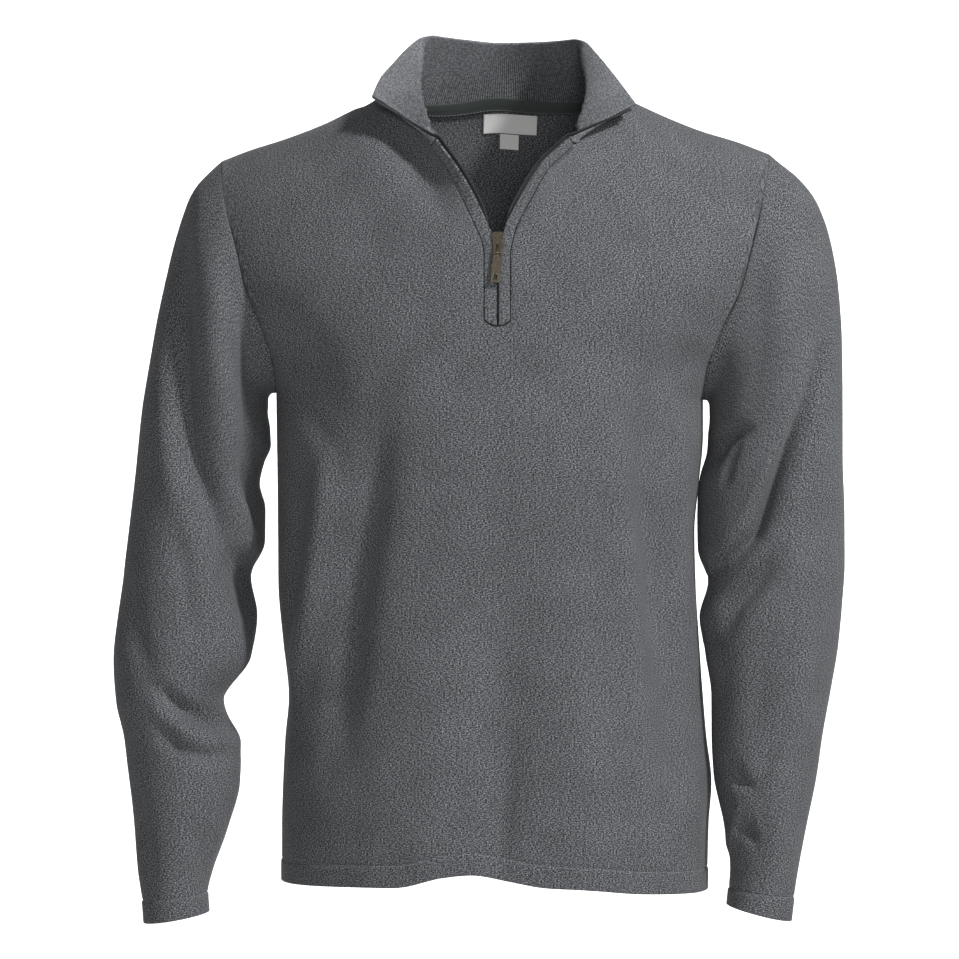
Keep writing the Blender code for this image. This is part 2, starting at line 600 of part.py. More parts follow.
def rounded(width_top, width_foot, height, corner, steps=4):
    """Outline of a plate with round corners, centred across, its top edge at zero, going round."""
    turns = np.linspace(0, np.pi / 2, steps)
    top, foot = width_top / 2 - corner, width_foot / 2 - corner
    corners = ((top, -corner, 0.0), (-top, -corner, 0.5), (-foot, corner - height, 1.0),
               (foot, corner - height, 1.5))
    return [(x + corner * np.cos(turn + quarter * np.pi), y + corner * np.sin(turn + quarter * np.pi))
            for x, y, quarter in corners for turn in turns]


# ---------------------------------------------------------------- the pieces
def torso_pieces(front, back, front_normal, back_normal, knit):
    """Front with its slot for the zip, and back, each a seam gap short of its neighbours."""
    foot = foot_of_slot()
    keep = np.ones((front.shape[0] - 1, front.shape[1] - 1), bool)
    keep[foot:, LEFT_EDGE:RIGHT_EDGE] = False
    outer = np.full(front.shape[:2], KNIT / 2)
    outer[:2] += HEM_EXTRA
    front, back = front.copy(), back.copy()
    for grid in (front, back):
        pull_in(grid, np.s_[:, 0], np.s_[:, 1])
        pull_in(grid, np.s_[:, -1], np.s_[:, -2])
        pull_in(grid, np.s_[UNDERARM_ROW + 1:, 0], np.s_[UNDERARM_ROW + 1:, 1])
        pull_in(grid, np.s_[UNDERARM_ROW + 1:, -1], np.s_[UNDERARM_ROW + 1:, -2])
        pull_in(grid, np.s_[-1], np.s_[-2])
    pull_in(front, np.s_[foot:, LEFT_EDGE], np.s_[foot:, LEFT_EDGE - 1], SEAM_GAP)
    pull_in(front, np.s_[foot:, RIGHT_EDGE], np.s_[foot:, RIGHT_EDGE + 1], SEAM_GAP)
    slot = np.s_[LEFT_EDGE + 1:RIGHT_EDGE]
    pull_in(front, (foot, slot), (foot - 1, slot))
    wall("front", front, outer, KNIT / 2, knit, front_normal, keep)
    wall("back", back, outer, KNIT / 2, knit, back_normal)


def share_seams(front, back, front_normal, back_normal):
    """Give front and back the same mitred normals along their side seams and shoulder seams."""
    low = np.s_[:UNDERARM_ROW + 1]
    for mine, other in ((0, -1), (-1, 0)):
        shared = mitre(front_normal[low, mine], back_normal[low, other])
        front_normal[low, mine], back_normal[low, other] = shared, shared
    for here in range(COLS_SIDE + 1):
        for mine, other in ((here, -1 - here), (-1 - here, here)):
            shared = mitre(front_normal[-1, mine], back_normal[-1, other])
            front_normal[-1, mine], back_normal[-1, other] = shared, shared


def sleeve_piece(side, front, back, front_normal, back_normal, knit):
    """A sleeve from its armhole loop to its cuff; the loop's normals are shared with the torso."""
    under, top = UNDERARM_ROW, front.shape[0] - 1
    first, second = (front, back) if side == "left" else (back, front)
    first_normal = front_normal if side == "left" else back_normal
    second_normal = back_normal if side == "left" else front_normal
    up, down = (np.s_[under:], 0), (np.s_[top - 1:under:-1], -1)
    loop = np.concatenate([first[up], second[down]])
    body_normal = np.concatenate([first_normal[up], second_normal[down]])
    rise = np.concatenate([[-90.0], arch_angles(np.array([90.0]))[:, 0]])
    angles = np.radians(np.concatenate([rise + 90, 270 - rise[-2:0:-1]]))
    grid = sleeve(side, loop, angles, sleeve_stations())
    normal = normals(grid, wrap=True)
    shared = mitre(unit(body_normal), normal[0])
    normal[0] = shared
    first_normal[up] = shared[:top - under + 1]
    second_normal[down] = shared[top - under + 1:]
    second_normal[under, -1], second_normal[top, -1] = shared[0], shared[top - under]
    outer = np.full(grid.shape[:2], KNIT / 2)
    outer[-2:] += HEM_EXTRA
    pull_in(grid, 0, 1, 2 * SEAM_GAP)
    wall("sleeve_" + side, grid, outer, KNIT / 2, knit, normal, wrap=True)


def placket_grid(side, front, front_normal):
    """Knit strip from the slot's edge to the zip, square to that edge, with the slot's round foot."""
    foot = foot_of_slot()
    seam = front[foot:, LEFT_EDGE if side == "left" else RIGHT_EDGE]
    normal = front_normal[foot:, LEFT_EDGE if side == "left" else RIGHT_EDGE]
    along = unit(np.gradient(seam, axis=0))
    inward = unit(np.cross(along, normal)) * (1 if side == "left" else -1)
    turn = np.radians(STRIP_TURN) * soft_step((seam[:, 2] - TURN_FROM) / TURN_OVER)[:, None]
    inward = inward * np.cos(turn) + normal * np.sin(turn)
    width = PLACKET_WIDTH if side == "left" else PLACKET_WIDTH - 0.0010
    share = np.linspace(0, 1, 3)
    grid = seam[:, None] + inward[:, None] * (share * width)[None, :, None]
    dip = SLOT_ROUND * (1 - (1 - share * 0.9) ** 2)
    for row, part in ((0, 1.0), (1, 0.45), (2, 0.15)):
        grid[row, :, 2] -= part * dip
    return grid if side == "left" else grid[:, ::-1]


def neckline(front, back, left_strip, right_strip):
    """The last two rows of points from the right zip edge round the back to the left zip edge."""
    neck = COLS_SIDE
    parts = [(right_strip, np.s_[:]), (front, np.s_[RIGHT_EDGE + 1:RIGHT_EDGE + COLS_NECK + 1]),
             (back, np.s_[neck + 1:back.shape[1] - 1 - neck]), (front, np.s_[neck:LEFT_EDGE]),
             (left_strip, np.s_[:])]
    return np.concatenate([grid[-2:, part] for grid, part in parts], axis=1)


def clear_of_edge(rising, leaving, seam, across, half):
    """Step by which a wall that rises from another wall's edge must start off it, square to the seam.

    Where it goes on from the other wall, its rim has to clear the corner of that wall's rim. Where it
    folds back over the other wall, its face has to clear that wall's face. Its rim runs along the
    directions across, and where they lean, one side of the rim hangs lower.
    """
    along = unit(np.gradient(seam, axis=0))
    up, ahead = [unit(way - along * np.sum(way * along, axis=1, keepdims=True)) for way in (rising, leaving)]
    agree = np.clip(np.sum(up * ahead, axis=1), -0.8, 1)
    turn = np.sqrt(1 - agree ** 2)
    onwards = turn * KNIT / 2 + 2 * SEAM_GAP
    back_over = (KNIT / 2 + 2 * SEAM_GAP - agree * half) / turn
    hanging = half * np.abs(np.sum(across * up, axis=1))
    return up * (hanging + np.where(agree > 0, onwards, np.maximum(onwards, back_over)))[:, None]


def collar_piece(below, seam, rib):
    """The folded collar, set just above the neckline."""
    leaving = unit(seam - below)
    way = np.concatenate([[0], np.cumsum(np.linalg.norm(np.diff(seam, axis=0), axis=1))])
    way = 1 - way / way[-1]
    ply = collar_ply(seam, way)
    across = unit(calm(normals(ply), 3))[0]
    ply[0] += clear_of_edge(unit(ply[1] - ply[0]), leaving, seam, across, COLLAR / 2)
    normal = unit(calm(normals(ply), 3))
    half = np.full(ply.shape[:2], COLLAR / 2)
    half[-1] *= 0.6
    wall("collar", ply, half, half, rib, normal)
    return ply, normal


def on_grid(grid, row, col):
    """Points of a grid at fractional rows and columns, on its flat facets."""
    row, col = np.broadcast_arrays(row, col)
    i = np.clip(row.astype(int), 0, grid.shape[0] - 2)
    j = np.clip(col.astype(int), 0, grid.shape[1] - 2)
    u, v = (row - i)[..., None], (col - j)[..., None]
    low = grid[i, j] * (1 - v) + grid[i, j + 1] * v
    high = grid[i + 1, j] * (1 - v) + grid[i + 1, j + 1] * v
    return low * (1 - u) + high * u


def inside_patch(name, box, back, back_normal, material):
    """A flat cloth patch on the inner side of the back, from its left, right, top and foot."""
    left, right, top, foot = box
    middle = back.shape[1] // 2
    row = np.interp(np.linspace(foot, top, 4), back[:, middle, 2], np.arange(back.shape[0]))
    x = back[int(row[0]), :, 0]
    col = np.interp(-np.linspace(right, left, 7), -x, np.arange(len(x)))
    points = on_grid(back, row[:, None], col[None, :])
    normal = unit(on_grid(back_normal, row[:, None], col[None, :]))
    stand = KNIT / 2 + SEAM_GAP + LABEL / 2 + 0.0001
    wall(name, points - normal * stand, LABEL / 2, LABEL / 2, material, normal)


def neck_tape(back, back_normal, material):
    """Tape over the back neck seam's turned-in edges, from one shoulder seam to the other."""
    top = back.shape[0] - 1
    step = np.linalg.norm(back[-1, back.shape[1] // 2] - back[-2, back.shape[1] // 2])
    row = top - np.array([NECK_TAPE_HEIGHT, 0.5 * NECK_TAPE_HEIGHT, 0.0006]) / step
    col = np.arange(COLS_SIDE + 1, back.shape[1] - 1 - COLS_SIDE).astype(float)
    points = on_grid(back, row[:, None], col[None, :])
    normal = unit(on_grid(back_normal, row[:, None], col[None, :]))
    stand = np.array([0.0028, 0.0032, 0.0035])[:, None, None]
    wall("neck_tape", points - normal * stand, TAPE / 2, TAPE / 2, material, normal)


def zip_tape(side, placket, placket_normal, ply, ply_normal, material):
    """Woven tape: behind the placket strip, then just beyond its edge, then along the collar's front edge.

    Each row runs from a start to an end, measured outwards from the edge, at a depth behind it.
    """
    edge, next_in = (-1, -2) if side == "left" else (0, 1)
    line = np.concatenate([placket[:, edge], ply[1:-1, edge]])
    beyond = unit(line - np.concatenate([placket[:, next_in], ply[1:-1, next_in]]))
    normal = np.concatenate([placket_normal[:, edge], ply_normal[1:-1, edge]])
    height = placket[:, edge, 2]
    parting = soft_step((height - TAPE_PARTS) / 0.020)
    leaving = soft_step((height - TAPE_LEAVES) / 0.040)
    on_collar = np.ones(len(ply) - 2)
    start = np.concatenate([-TAPE_HIDDEN + (TAPE_HIDDEN + TAPE_CLEAR) * leaving, on_collar * 2 * TAPE_CLEAR])
    end = np.concatenate([-TAPE_CLEAR + (TAPE_CLEAR + TAPE_SHOWN) * parting, on_collar * TAPE_SHOWN])
    behind = TAPE_BEHIND + TAPE / 2
    depth = np.concatenate([behind + 0 * height, 0 * on_collar])
    reach = np.stack([start, (start + end) / 2, end], axis=1)
    if side == "right":
        reach = reach[:, ::-1]
    grid = line[:, None] + beyond[:, None] * reach[..., None] - (normal * depth[:, None])[:, None]
    grid[0] += (grid[1] - grid[0]) * 0.15
    wall("zip_tape_" + side, grid, TAPE / 2, TAPE / 2, material, np.repeat(normal[:, None], 3, axis=1))


def middle_line(left_placket, right_placket, front_normal):
    """The zip's middle line between the two strips, with its outward normals."""
    foot = foot_of_slot()
    line = (left_placket[:, -1] + right_placket[:, 0]) / 2
    normal = unit(front_normal[foot:, LEFT_EDGE] + front_normal[foot:, RIGHT_EDGE])
    return line, normal


def frame_at(line, normal, height):
    """Right, up and out directions and the point of the zip's middle line at a height."""
    point = np.array([np.interp(height, line[:, 2], line[:, k]) for k in range(3)])
    ahead = np.array([np.interp(height + 0.01, line[:, 2], line[:, k]) for k in range(3)])
    behind = np.array([np.interp(height - 0.01, line[:, 2], line[:, k]) for k in range(3)])
    up = unit(ahead - behind)
    out = np.array([np.interp(height, line[:, 2], normal[:, k]) for k in range(3)])
    out = unit(out - up * (out @ up))
    place = np.eye(4)
    place[:3, 0], place[:3, 1], place[:3, 2], place[:3, 3] = np.cross(up, out), up, out, point
    return place


def moved(place, right=0.0, up=0.0, out=0.0):
    shifted = place.copy()
    shifted[:3, 3] += place[:3, 0] * right + place[:3, 1] * up + place[:3, 2] * out
    return shifted


def box(name, place, width, height, depth, material):
    """A block with its middle at the frame's point."""
    outline = [(width / 2, height / 2), (-width / 2, height / 2), (-width / 2, -height / 2),
               (width / 2, -height / 2)]
    return plate(name, outline, depth, place, material)


def combine(thing, other, operation):
    """Join or cut a piece with another one, which then goes away."""
    change = thing.modifiers.new(operation, "BOOLEAN")
    change.operation, change.object, change.solver = operation, other, "EXACT"
    bpy.context.view_layer.update()
    evaluated = thing.evaluated_get(bpy.context.evaluated_depsgraph_get())
    mesh = bpy.data.meshes.new_from_object(evaluated)
    thing.modifiers.clear()
    thing.data = mesh
    bpy.data.objects.remove(other, do_unlink=True)


def zip_chain(line, normal, coil):
    """The closed coil below the slider, in the slit between the two strips."""
    heights = np.linspace(SLOT_FOOT - 0.0005, SLIDER_TOP - SLIDER_LENGTH - 0.0035, 5)
    middle = [frame_at(line, normal, z) for z in heights]
    side = np.array([-0.5, 0.5]) * CHAIN_WIDTH
    grid = np.array([[place[:3, 3] + place[:3, 0] * x for x in side] for place in middle])
    out = np.array([[place[:3, 2]] * 2 for place in middle])
    wall("zip_chain", grid - out * 0.0016, CHAIN_PLATE / 2, CHAIN_PLATE / 2, coil, out)


def slider(line, normal, metal):
    """Slider: front plate, post through the slit, back plate, and the bridge that holds the tab."""
    centre = frame_at(line, normal, SLIDER_TOP - SLIDER_LENGTH / 2)
    front_face = KNIT / 2 + SEAM_GAP + SLIDER_PLATE
    outline = rounded(SLIDER_WIDTH_TOP, SLIDER_WIDTH_FOOT, SLIDER_LENGTH, 0.0022)
    face = moved(centre, up=SLIDER_LENGTH / 2, out=front_face - SLIDER_PLATE / 2)
    body = plate("zip_slider", outline, SLIDER_PLATE, face, metal)
    behind = TAPE_BEHIND + TAPE + SEAM_GAP
    post_reach = front_face - SLIDER_PLATE / 2 + behind + 0.0006
    post = moved(centre, up=0.0035, out=front_face - SLIDER_PLATE / 2 - post_reach / 2)
    combine(body, box("post", post, 0.0014, 0.0070, post_reach, metal), "UNION")
    rear_outline = rounded(0.0086, 0.0070, 0.0130, 0.0020)
    rear = moved(centre, up=SLIDER_LENGTH / 2 - 0.001, out=-behind - 0.0006)
    combine(body, plate("rear", rear_outline, 0.0010, rear, metal), "UNION")
    hinge = hinge_frame(line, normal)
    bridge = hinge.copy()
    bridge[:3, 0], bridge[:3, 1], bridge[:3, 2] = hinge[:3, 1], hinge[:3, 2], hinge[:3, 0]
    half, leg = BRIDGE_OPENING / 2, BRIDGE_BAR
    inner, sunk = HINGE_STAND, -HINGE_STAND - 0.0006
    arch = [(half + leg, sunk), (half + leg, inner + leg * 0.4), (half + leg * 0.4, inner + leg),
            (-half - leg * 0.4, inner + leg), (-half - leg, inner + leg * 0.4), (-half - leg, sunk),
            (-half, sunk), (-half, inner), (half, inner), (half, sunk)]
    combine(body, plate("bridge", arch, BRIDGE_WIDTH, bridge, metal), "UNION")
    return hinge


def hinge_frame(line, normal):
    """Frame at the hinge's axis, which runs across the zip just outside the slider's plate."""
    place = frame_at(line, normal, HINGE_Z)
    return moved(place, out=KNIT / 2 + SEAM_GAP + SLIDER_PLATE + HINGE_STAND)


def pull_tab(hinge, metal):
    """Pull tab: a plate whose top bar passes through the bridge, with a hole and a slot cut in it."""
    lean = np.radians(PULL_LEAN)
    turned = hinge.copy()
    turned[:3, 0] = hinge[:3, 0] * np.cos(lean) - hinge[:3, 1] * np.sin(lean)
    turned[:3, 1] = hinge[:3, 1] * np.cos(lean) + hinge[:3, 0] * np.sin(lean)
    outline = rounded(PULL_WIDTH_TOP, PULL_WIDTH_FOOT, PULL_LENGTH, 0.0010)
    tab = plate("zip_pull", outline, PULL_PLATE, moved(turned, up=PULL_PLATE / 2), metal)
    hole = moved(turned, up=-0.0029)
    combine(tab, box("hole", hole, 0.0032, 0.0044, 0.004, metal), "DIFFERENCE")
    slot = moved(turned, up=-PULL_LENGTH + 0.0052)
    combine(tab, box("slot", slot, 0.0026, 0.0042, 0.004, metal), "DIFFERENCE")
    axle = bpy.data.objects.new("pull_axis", None)
    axle.location = turned[:3, 3]
    bpy.context.scene.collection.objects.link(axle)
    bpy.context.view_layer.update()
    tab.parent = axle
    tab.matrix_parent_inverse = axle.matrix_world.inverted()
    return turned


def build():
    clear_scene()
    knit = material("heather fine knit", COLOURS["knit"], 0.95)
    rib = material("heather collar rib", COLOURS["rib"], 0.95)
    binding = material("neck tape twill", COLOURS["neck_tape"], 0.85)
    satin = material("label satin", COLOURS["label"], 0.6)
    woven = material("zip tape weave", COLOURS["zip_tape"], 0.8)
    coil = material("zip coil nylon", COLOURS["zip"], 0.45)
    metal = material("gunmetal zip casting", COLOURS["gunmetal"], 0.32, 1.0)
    front, back = panel(-1), panel(1)
    front_normal, back_normal = normals(front), normals(back)
    share_seams(front, back, front_normal, back_normal)
    for side in ("left", "right"):
        sleeve_piece(side, front, back, front_normal, back_normal, knit)
    left = placket_grid("left", front, front_normal)
    right = placket_grid("right", front, front_normal)
    strip_normal = {"left": normals(left), "right": normals(right)}
    foot = foot_of_slot()
    for side, edge, seam_side in (("left", LEFT_EDGE, 0), ("right", RIGHT_EDGE, -1)):
        shared = mitre(front_normal[foot:, edge], strip_normal[side][:, seam_side])
        front_normal[foot:, edge] = shared
        strip_normal[side][:, seam_side] = shared
    torso_pieces(front, back, front_normal, back_normal, knit)
    below, seam = neckline(front, back, left, right)
    ply, ply_normal = collar_piece(below, seam, rib)
    for side, grid in (("left", left), ("right", right)):
        normal = strip_normal[side]
        zip_tape(side, grid, normals(grid), ply, ply_normal, woven)
        strip = grid.copy()
        seam_side, next_in = (0, 1) if side == "left" else (-1, -2)
        pull_in(strip, np.s_[:, seam_side], np.s_[:, next_in], SEAM_GAP)
        pull_in(strip, 0, 1, 0.0008)
        pull_in(strip, -1, -2)
        wall("placket_" + side, strip, KNIT / 2, KNIT / 2, knit, normal)
    line, normal = middle_line(left, right, front_normal)
    zip_chain(line, normal, coil)
    hinge = slider(line, normal, metal)
    pull_tab(hinge, metal)
    neck_tape(back, back_normal, binding)
    inside_patch("label_main", LABEL_BOX, back, back_normal, satin)
    inside_patch("label_tab", TAB_BOX, back, back_normal, satin)


build()
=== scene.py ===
# %% [markdown]
# # A quarter zip sweatshirt in fine heather knit
#
# The garment is filled out as if somebody wore it, with nobody in it. A maker cuts a front, a back, two
# sleeves and a folded collar from fine jersey, and sews a short zip between two narrow knit strips.
# The CAD model is the frame. Each plain wall in it gives way here to a finer one of the same shape,
# which carries the creases, the turned hems, the ribs, the seams and the stitches.

# %% Load the frame
import bmesh
import bpy
import numpy as np
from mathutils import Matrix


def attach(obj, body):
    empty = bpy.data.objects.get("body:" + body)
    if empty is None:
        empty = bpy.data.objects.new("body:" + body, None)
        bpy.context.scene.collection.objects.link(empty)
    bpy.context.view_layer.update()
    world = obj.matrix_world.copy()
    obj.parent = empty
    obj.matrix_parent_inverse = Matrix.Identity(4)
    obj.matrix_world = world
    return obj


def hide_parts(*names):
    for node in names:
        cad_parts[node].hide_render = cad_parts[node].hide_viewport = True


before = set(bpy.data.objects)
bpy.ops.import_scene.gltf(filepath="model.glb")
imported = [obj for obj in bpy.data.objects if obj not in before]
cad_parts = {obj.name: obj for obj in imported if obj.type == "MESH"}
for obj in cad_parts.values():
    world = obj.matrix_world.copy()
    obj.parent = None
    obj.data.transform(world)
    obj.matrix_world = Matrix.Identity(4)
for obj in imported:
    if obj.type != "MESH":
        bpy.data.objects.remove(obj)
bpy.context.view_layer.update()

# %% [markdown]
# ## Camera
#
# The garment is seen straight from the front, from the height of its middle. A long lens, about as
# long as a catalogue photographer uses, keeps the sleeves from looking larger than the body.

# %% Camera
CAMERA_AT = (-0.0154, -3.2, -0.33924)
HALF_VIEW = 0.13186                # tangent of half the angle of view
scene = bpy.context.scene
camera_data = bpy.data.cameras.new("camera")
camera_data.sensor_width = 36.0
camera_data.lens = 36.0 / (2 * HALF_VIEW)
camera_data.clip_end = 20.0
camera = bpy.data.objects.new("camera", camera_data)
camera.location = CAMERA_AT
camera.rotation_euler = (np.pi / 2, 0, 0)
scene.collection.objects.link(camera)
scene.camera = camera
scene.view_settings.view_transform = "Standard"
print("lens:", round(camera_data.lens, 1), "mm")

# %% [markdown]
# ## Backdrop and light
#
# The studio is a white paper sweep: a floor well below the picture that curves up into a wall behind the
# garment. A strong lamp stands high on the right, so that the open collar shades the left shoulder. A
# wide weak one beside the camera fills the front, and one on each side lights the paper. The white
# surroundings do the rest.

# %% Colours
def linear(hex_colour):
    """sRGB hex to linear: each channel's two-part curve, a straight foot and a power of 2.4."""
    value = np.array([int(hex_colour[k:k + 2], 16) for k in (1, 3, 5)]) / 255
    return tuple(np.where(value <= 0.04045, value / 12.92, ((value + 0.055) / 1.055) ** 2.4)) + (1.0,)


def add(tree, kind, inputs=None, **settings):
    """Add a node: settings are its own options, inputs are numbers, colours or other nodes' sockets."""
    node = tree.nodes.new(kind)
    for key, value in settings.items():
        setattr(node, key, value)
    for key, value in (inputs or {}).items():
        if isinstance(value, bpy.types.NodeSocket):
            tree.links.new(value, node.inputs[key])
        else:
            node.inputs[key].default_value = value
    return node


def new_material(name):
    """A material with its node tree and its shader."""
    made = bpy.data.materials.new(name)
    made.use_nodes = True
    tree = made.node_tree
    return made, tree, tree.nodes["Principled BSDF"]


def emboss(tree, shader, height, strength, distance):
    """Relief: a bump that follows the socket height, on the shader's normal."""
    bump = add(tree, "ShaderNodeBump", {"Strength": strength, "Distance": distance, "Height": height})
    tree.links.new(bump.outputs["Normal"], shader.inputs["Normal"])


# %% Mesh helpers
def put_mesh(name, points, quads, material, corner_uv=None, body="garment", painted_rib_shade=None):
    """One object from points and four-cornered faces, shaded smooth, riding on a body."""
    used, numbers = np.unique(quads, return_inverse=True)
    numbers = numbers.reshape(quads.shape)
    mesh = bpy.data.meshes.new(name)
    mesh.vertices.add(len(used))
    mesh.vertices.foreach_set("co", points[used].astype(np.float32).ravel())
    mesh.loops.add(numbers.size)
    mesh.loops.foreach_set("vertex_index", numbers.astype(np.int32).ravel())
    mesh.polygons.add(len(numbers))
    mesh.polygons.foreach_set("loop_start", np.arange(0, numbers.size, 4, dtype=np.int32))
    if corner_uv is not None:
        layer = mesh.uv_layers.new(name="cloth")
        layer.data.foreach_set("uv", corner_uv.astype(np.float32).ravel())
    # An optional point layer of painted rib shade and highlight, read by the rib material as a colour factor
    if painted_rib_shade is not None:
        rib_shade_layer = mesh.attributes.new("painted_rib_shade", "FLOAT", "POINT")
        rib_shade_layer.data.foreach_set("value", painted_rib_shade[used].astype(np.float32))
    mesh.materials.append(material)
    mesh.update(calc_edges=True)
    mesh.validate()
    mesh.shade_smooth()
    piece = bpy.data.objects.new(name, mesh)
    scene.collection.objects.link(piece)
    if body:
        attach(piece, body)
    print(name, "triangles:", 2 * len(numbers))
    return piece


# %% Paper sweep
paper, tree, shader = new_material("matt white paper sweep")
grain = add(tree, "ShaderNodeTexNoise", {"Scale": 60.0, "Detail": 3.0})
coords = add(tree, "ShaderNodeTexCoord")
tree.links.new(coords.outputs["Object"], grain.inputs["Vector"])
emboss(tree, shader, grain.outputs["Fac"], 0.03, 0.001)
shader.inputs["Base Color"].default_value = linear("#f7f7f7")
shader.inputs["Roughness"].default_value = 0.9

FLOOR_Z, SWEEP_Y, SWEEP_RADIUS = -2.2, 4.4, 0.8     # floor, wall and the curve between them
SWEEP_FRONT, SWEEP_LENGTH, SWEEP_WIDTH = 4.0, 13.0, 11.0


def sweep_surface(u, v):
    """Width runs with u; along v: flat floor, then a quarter circle up, then a straight wall."""
    way = v * SWEEP_LENGTH
    flat = SWEEP_Y - SWEEP_RADIUS + SWEEP_FRONT
    turn = np.clip((way - flat) / SWEEP_RADIUS, 0, np.pi / 2)
    y = np.minimum(way, flat) - SWEEP_FRONT + SWEEP_RADIUS * np.sin(turn)
    z = FLOOR_Z + SWEEP_RADIUS * (1 - np.cos(turn)) + np.maximum(way - flat - SWEEP_RADIUS * np.pi / 2, 0)
    return np.stack([(u - 0.5) * SWEEP_WIDTH, y, z], axis=-1)


u, v = np.meshgrid(np.linspace(0, 1, 9), np.linspace(0, 1, 201))
sweep_grid = sweep_surface(u, v)
number = np.arange(sweep_grid.shape[0] * sweep_grid.shape[1]).reshape(sweep_grid.shape[:2])
sweep_quads = np.stack([number[:-1, :-1], number[:-1, 1:], number[1:, 1:], number[1:, :-1]], axis=-1)
sweep = put_mesh("paper_sweep", sweep_grid.reshape(-1, 3), sweep_quads.reshape(-1, 4), paper, body=None)

# %% Lamps
def lamp(name, at, towards, size, power):
    """A round area lamp that faces a point, sizes in metres and power in watts."""
    data = bpy.data.lights.new(name, "AREA")
    data.shape = "DISK"
    data.size = size
    data.energy = power
    thing = bpy.data.objects.new(name, data)
    away = np.array(at) - np.array(towards)
    tilt = np.arccos(away[2] / np.linalg.norm(away))
    heading = np.arctan2(away[1], away[0]) + np.pi / 2
    thing.location = at
    thing.rotation_euler = (tilt, 0, heading)
    scene.collection.objects.link(thing)


WORLD_LIGHT = 0.21


lamp("key", (2.1, -1.9, 2.1), (0.0, 0.0, -0.25), 0.45, 165.0)
lamp("fill", (0.2, -3.7, -0.1), (0.0, 0.0, -0.35), 0.8, 46.0)
lamp("left of the sweep", (-1.5, 2.6, -0.3), (-0.6, 4.4, -0.4), 0.9, 52.0)
lamp("right of the sweep", (1.5, 2.6, -0.3), (0.6, 4.4, -0.4), 0.9, 46.0)
world = bpy.data.worlds.new("white room")
world.use_nodes = True
world.node_tree.nodes["Background"].inputs["Color"].default_value = linear("#ffffff")
world.node_tree.nodes["Background"].inputs["Strength"].default_value = WORLD_LIGHT
scene.world = world

# %% [markdown]
# ## Sizes of the cut
#
# The same tables as the CAD model's: how wide and deep the torso is at each height, where the armholes,
# the neckline and the zip's slot run, and how the sleeves hang. The cloth is 2 mm thick, and the hem
# and cuffs are turned up 19 mm.

# %% Sizes
KNIT, HEM_EXTRA, HEM_DEPTH, SEAM_GAP = 0.0020, 0.0008, 0.019, 0.0003
TAPE, TAPE_HIDDEN, TAPE_SHOWN, TAPE_CLEAR = 0.0008, 0.0045, 0.0026, 0.0004
TAPE_BEHIND = KNIT / 2 + 3 * SEAM_GAP
TAPE_PARTS = -0.1280
COLLAR, PLACKET_WIDTH, LABEL = 0.0030, 0.0105, 0.0008
HEIGHT, LEFT, RIGHT, FRONT, BACK = range(5)
TORSO = np.array([
    (-0.700, -0.1880, 0.1835, 0.116, 0.112), (-0.640, -0.1880, 0.1850, 0.116, 0.112),
    (-0.605, -0.1870, 0.1875, 0.115, 0.110), (-0.565, -0.1850, 0.1830, 0.114, 0.107),
    (-0.530, -0.1820, 0.1800, 0.113, 0.104), (-0.480, -0.1870, 0.1765, 0.113, 0.101),
    (-0.430, -0.1912, 0.1735, 0.115, 0.101), (-0.385, -0.1915, 0.1725, 0.118, 0.104),
    (-0.345, -0.1918, 0.1760, 0.121, 0.109), (-0.300, -0.1925, 0.1800, 0.123, 0.113),
    (-0.262, -0.1930, 0.1800, 0.123, 0.114),
])
SQUARENESS = 2.35
ACROSS, HEM_Z = range(2)
HEM = np.array([
    (-1.00, -0.6900), (-0.60, -0.6872), (-0.45, -0.6866), (-0.24, -0.6775), (-0.12, -0.6755),
    (0.06, -0.6812), (0.22, -0.6862), (0.40, -0.6882), (0.66, -0.6935), (1.00, -0.6975),
])
HEM_BACK = -0.6930
UNDERARM_Z = {"left": -0.262, "right": -0.268}
SHOULDER_Z = {"left": -0.060, "right": -0.054}
ARMHOLE_DEPTH = 0.066
RISE, SEAM_LEFT, SEAM_RIGHT = range(3)
ARMHOLE = np.array([
    (0.00, -0.1930, 0.1800), (0.10, -0.1950, 0.1820), (0.25, -0.2020, 0.1905), (0.44, -0.2165, 0.2095),
    (0.60, -0.2245, 0.2185), (0.80, -0.2350, 0.2290), (1.00, -0.2410, 0.2385),
])
SEAM_X, SEAM_Z = range(2)
SHOULDER = np.array([
    (-0.2410, -0.0600), (-0.2140, -0.0500), (-0.1890, -0.0425), (-0.1510, -0.0285), (-0.1200, -0.0135),
    (-0.0900, 0.0000), (0.0030, 0.0060), (0.0960, 0.0000), (0.1240, -0.0120), (0.1500, -0.0235),
    (0.1790, -0.0345), (0.2100, -0.0435), (0.2385, -0.0540),
])
NECK_LEFT, NECK_RIGHT = -0.0900, 0.0960
ARCH_NECK, ARCH_ARM, BACK_NECK_LIFT = 3.0, 2.3, 0.030
FRONT_NECK_ANGLE, BACK_NECK_ANGLE = 33.0, 50.0
SLOT_FOOT, SLOT_ROUND = -0.203, 0.0050
EDGE_Z, EDGE_LEFT, EDGE_RIGHT = range(3)
SLOT = np.array([
    (-0.2100, -0.0117, 0.0107), (-0.1500, -0.0117, 0.0107), (-0.1380, -0.0132, 0.0126),
    (-0.1270, -0.0180, 0.0154), (-0.1110, -0.0252, 0.0232), (-0.0970, -0.0318, 0.0306),
    (-0.0760, -0.0428, 0.0432), (-0.0640, -0.0508, 0.0556), (-0.0545, -0.0580, 0.0662),
])
TURN_FROM, TURN_OVER, STRIP_TURN, EDGE_LIFT = -0.1300, 0.0750, 54.0, 0.0070
OUT_X, OUT_Z, IN_X, IN_Z, MID_Y, HALF_DEPTH = range(6)
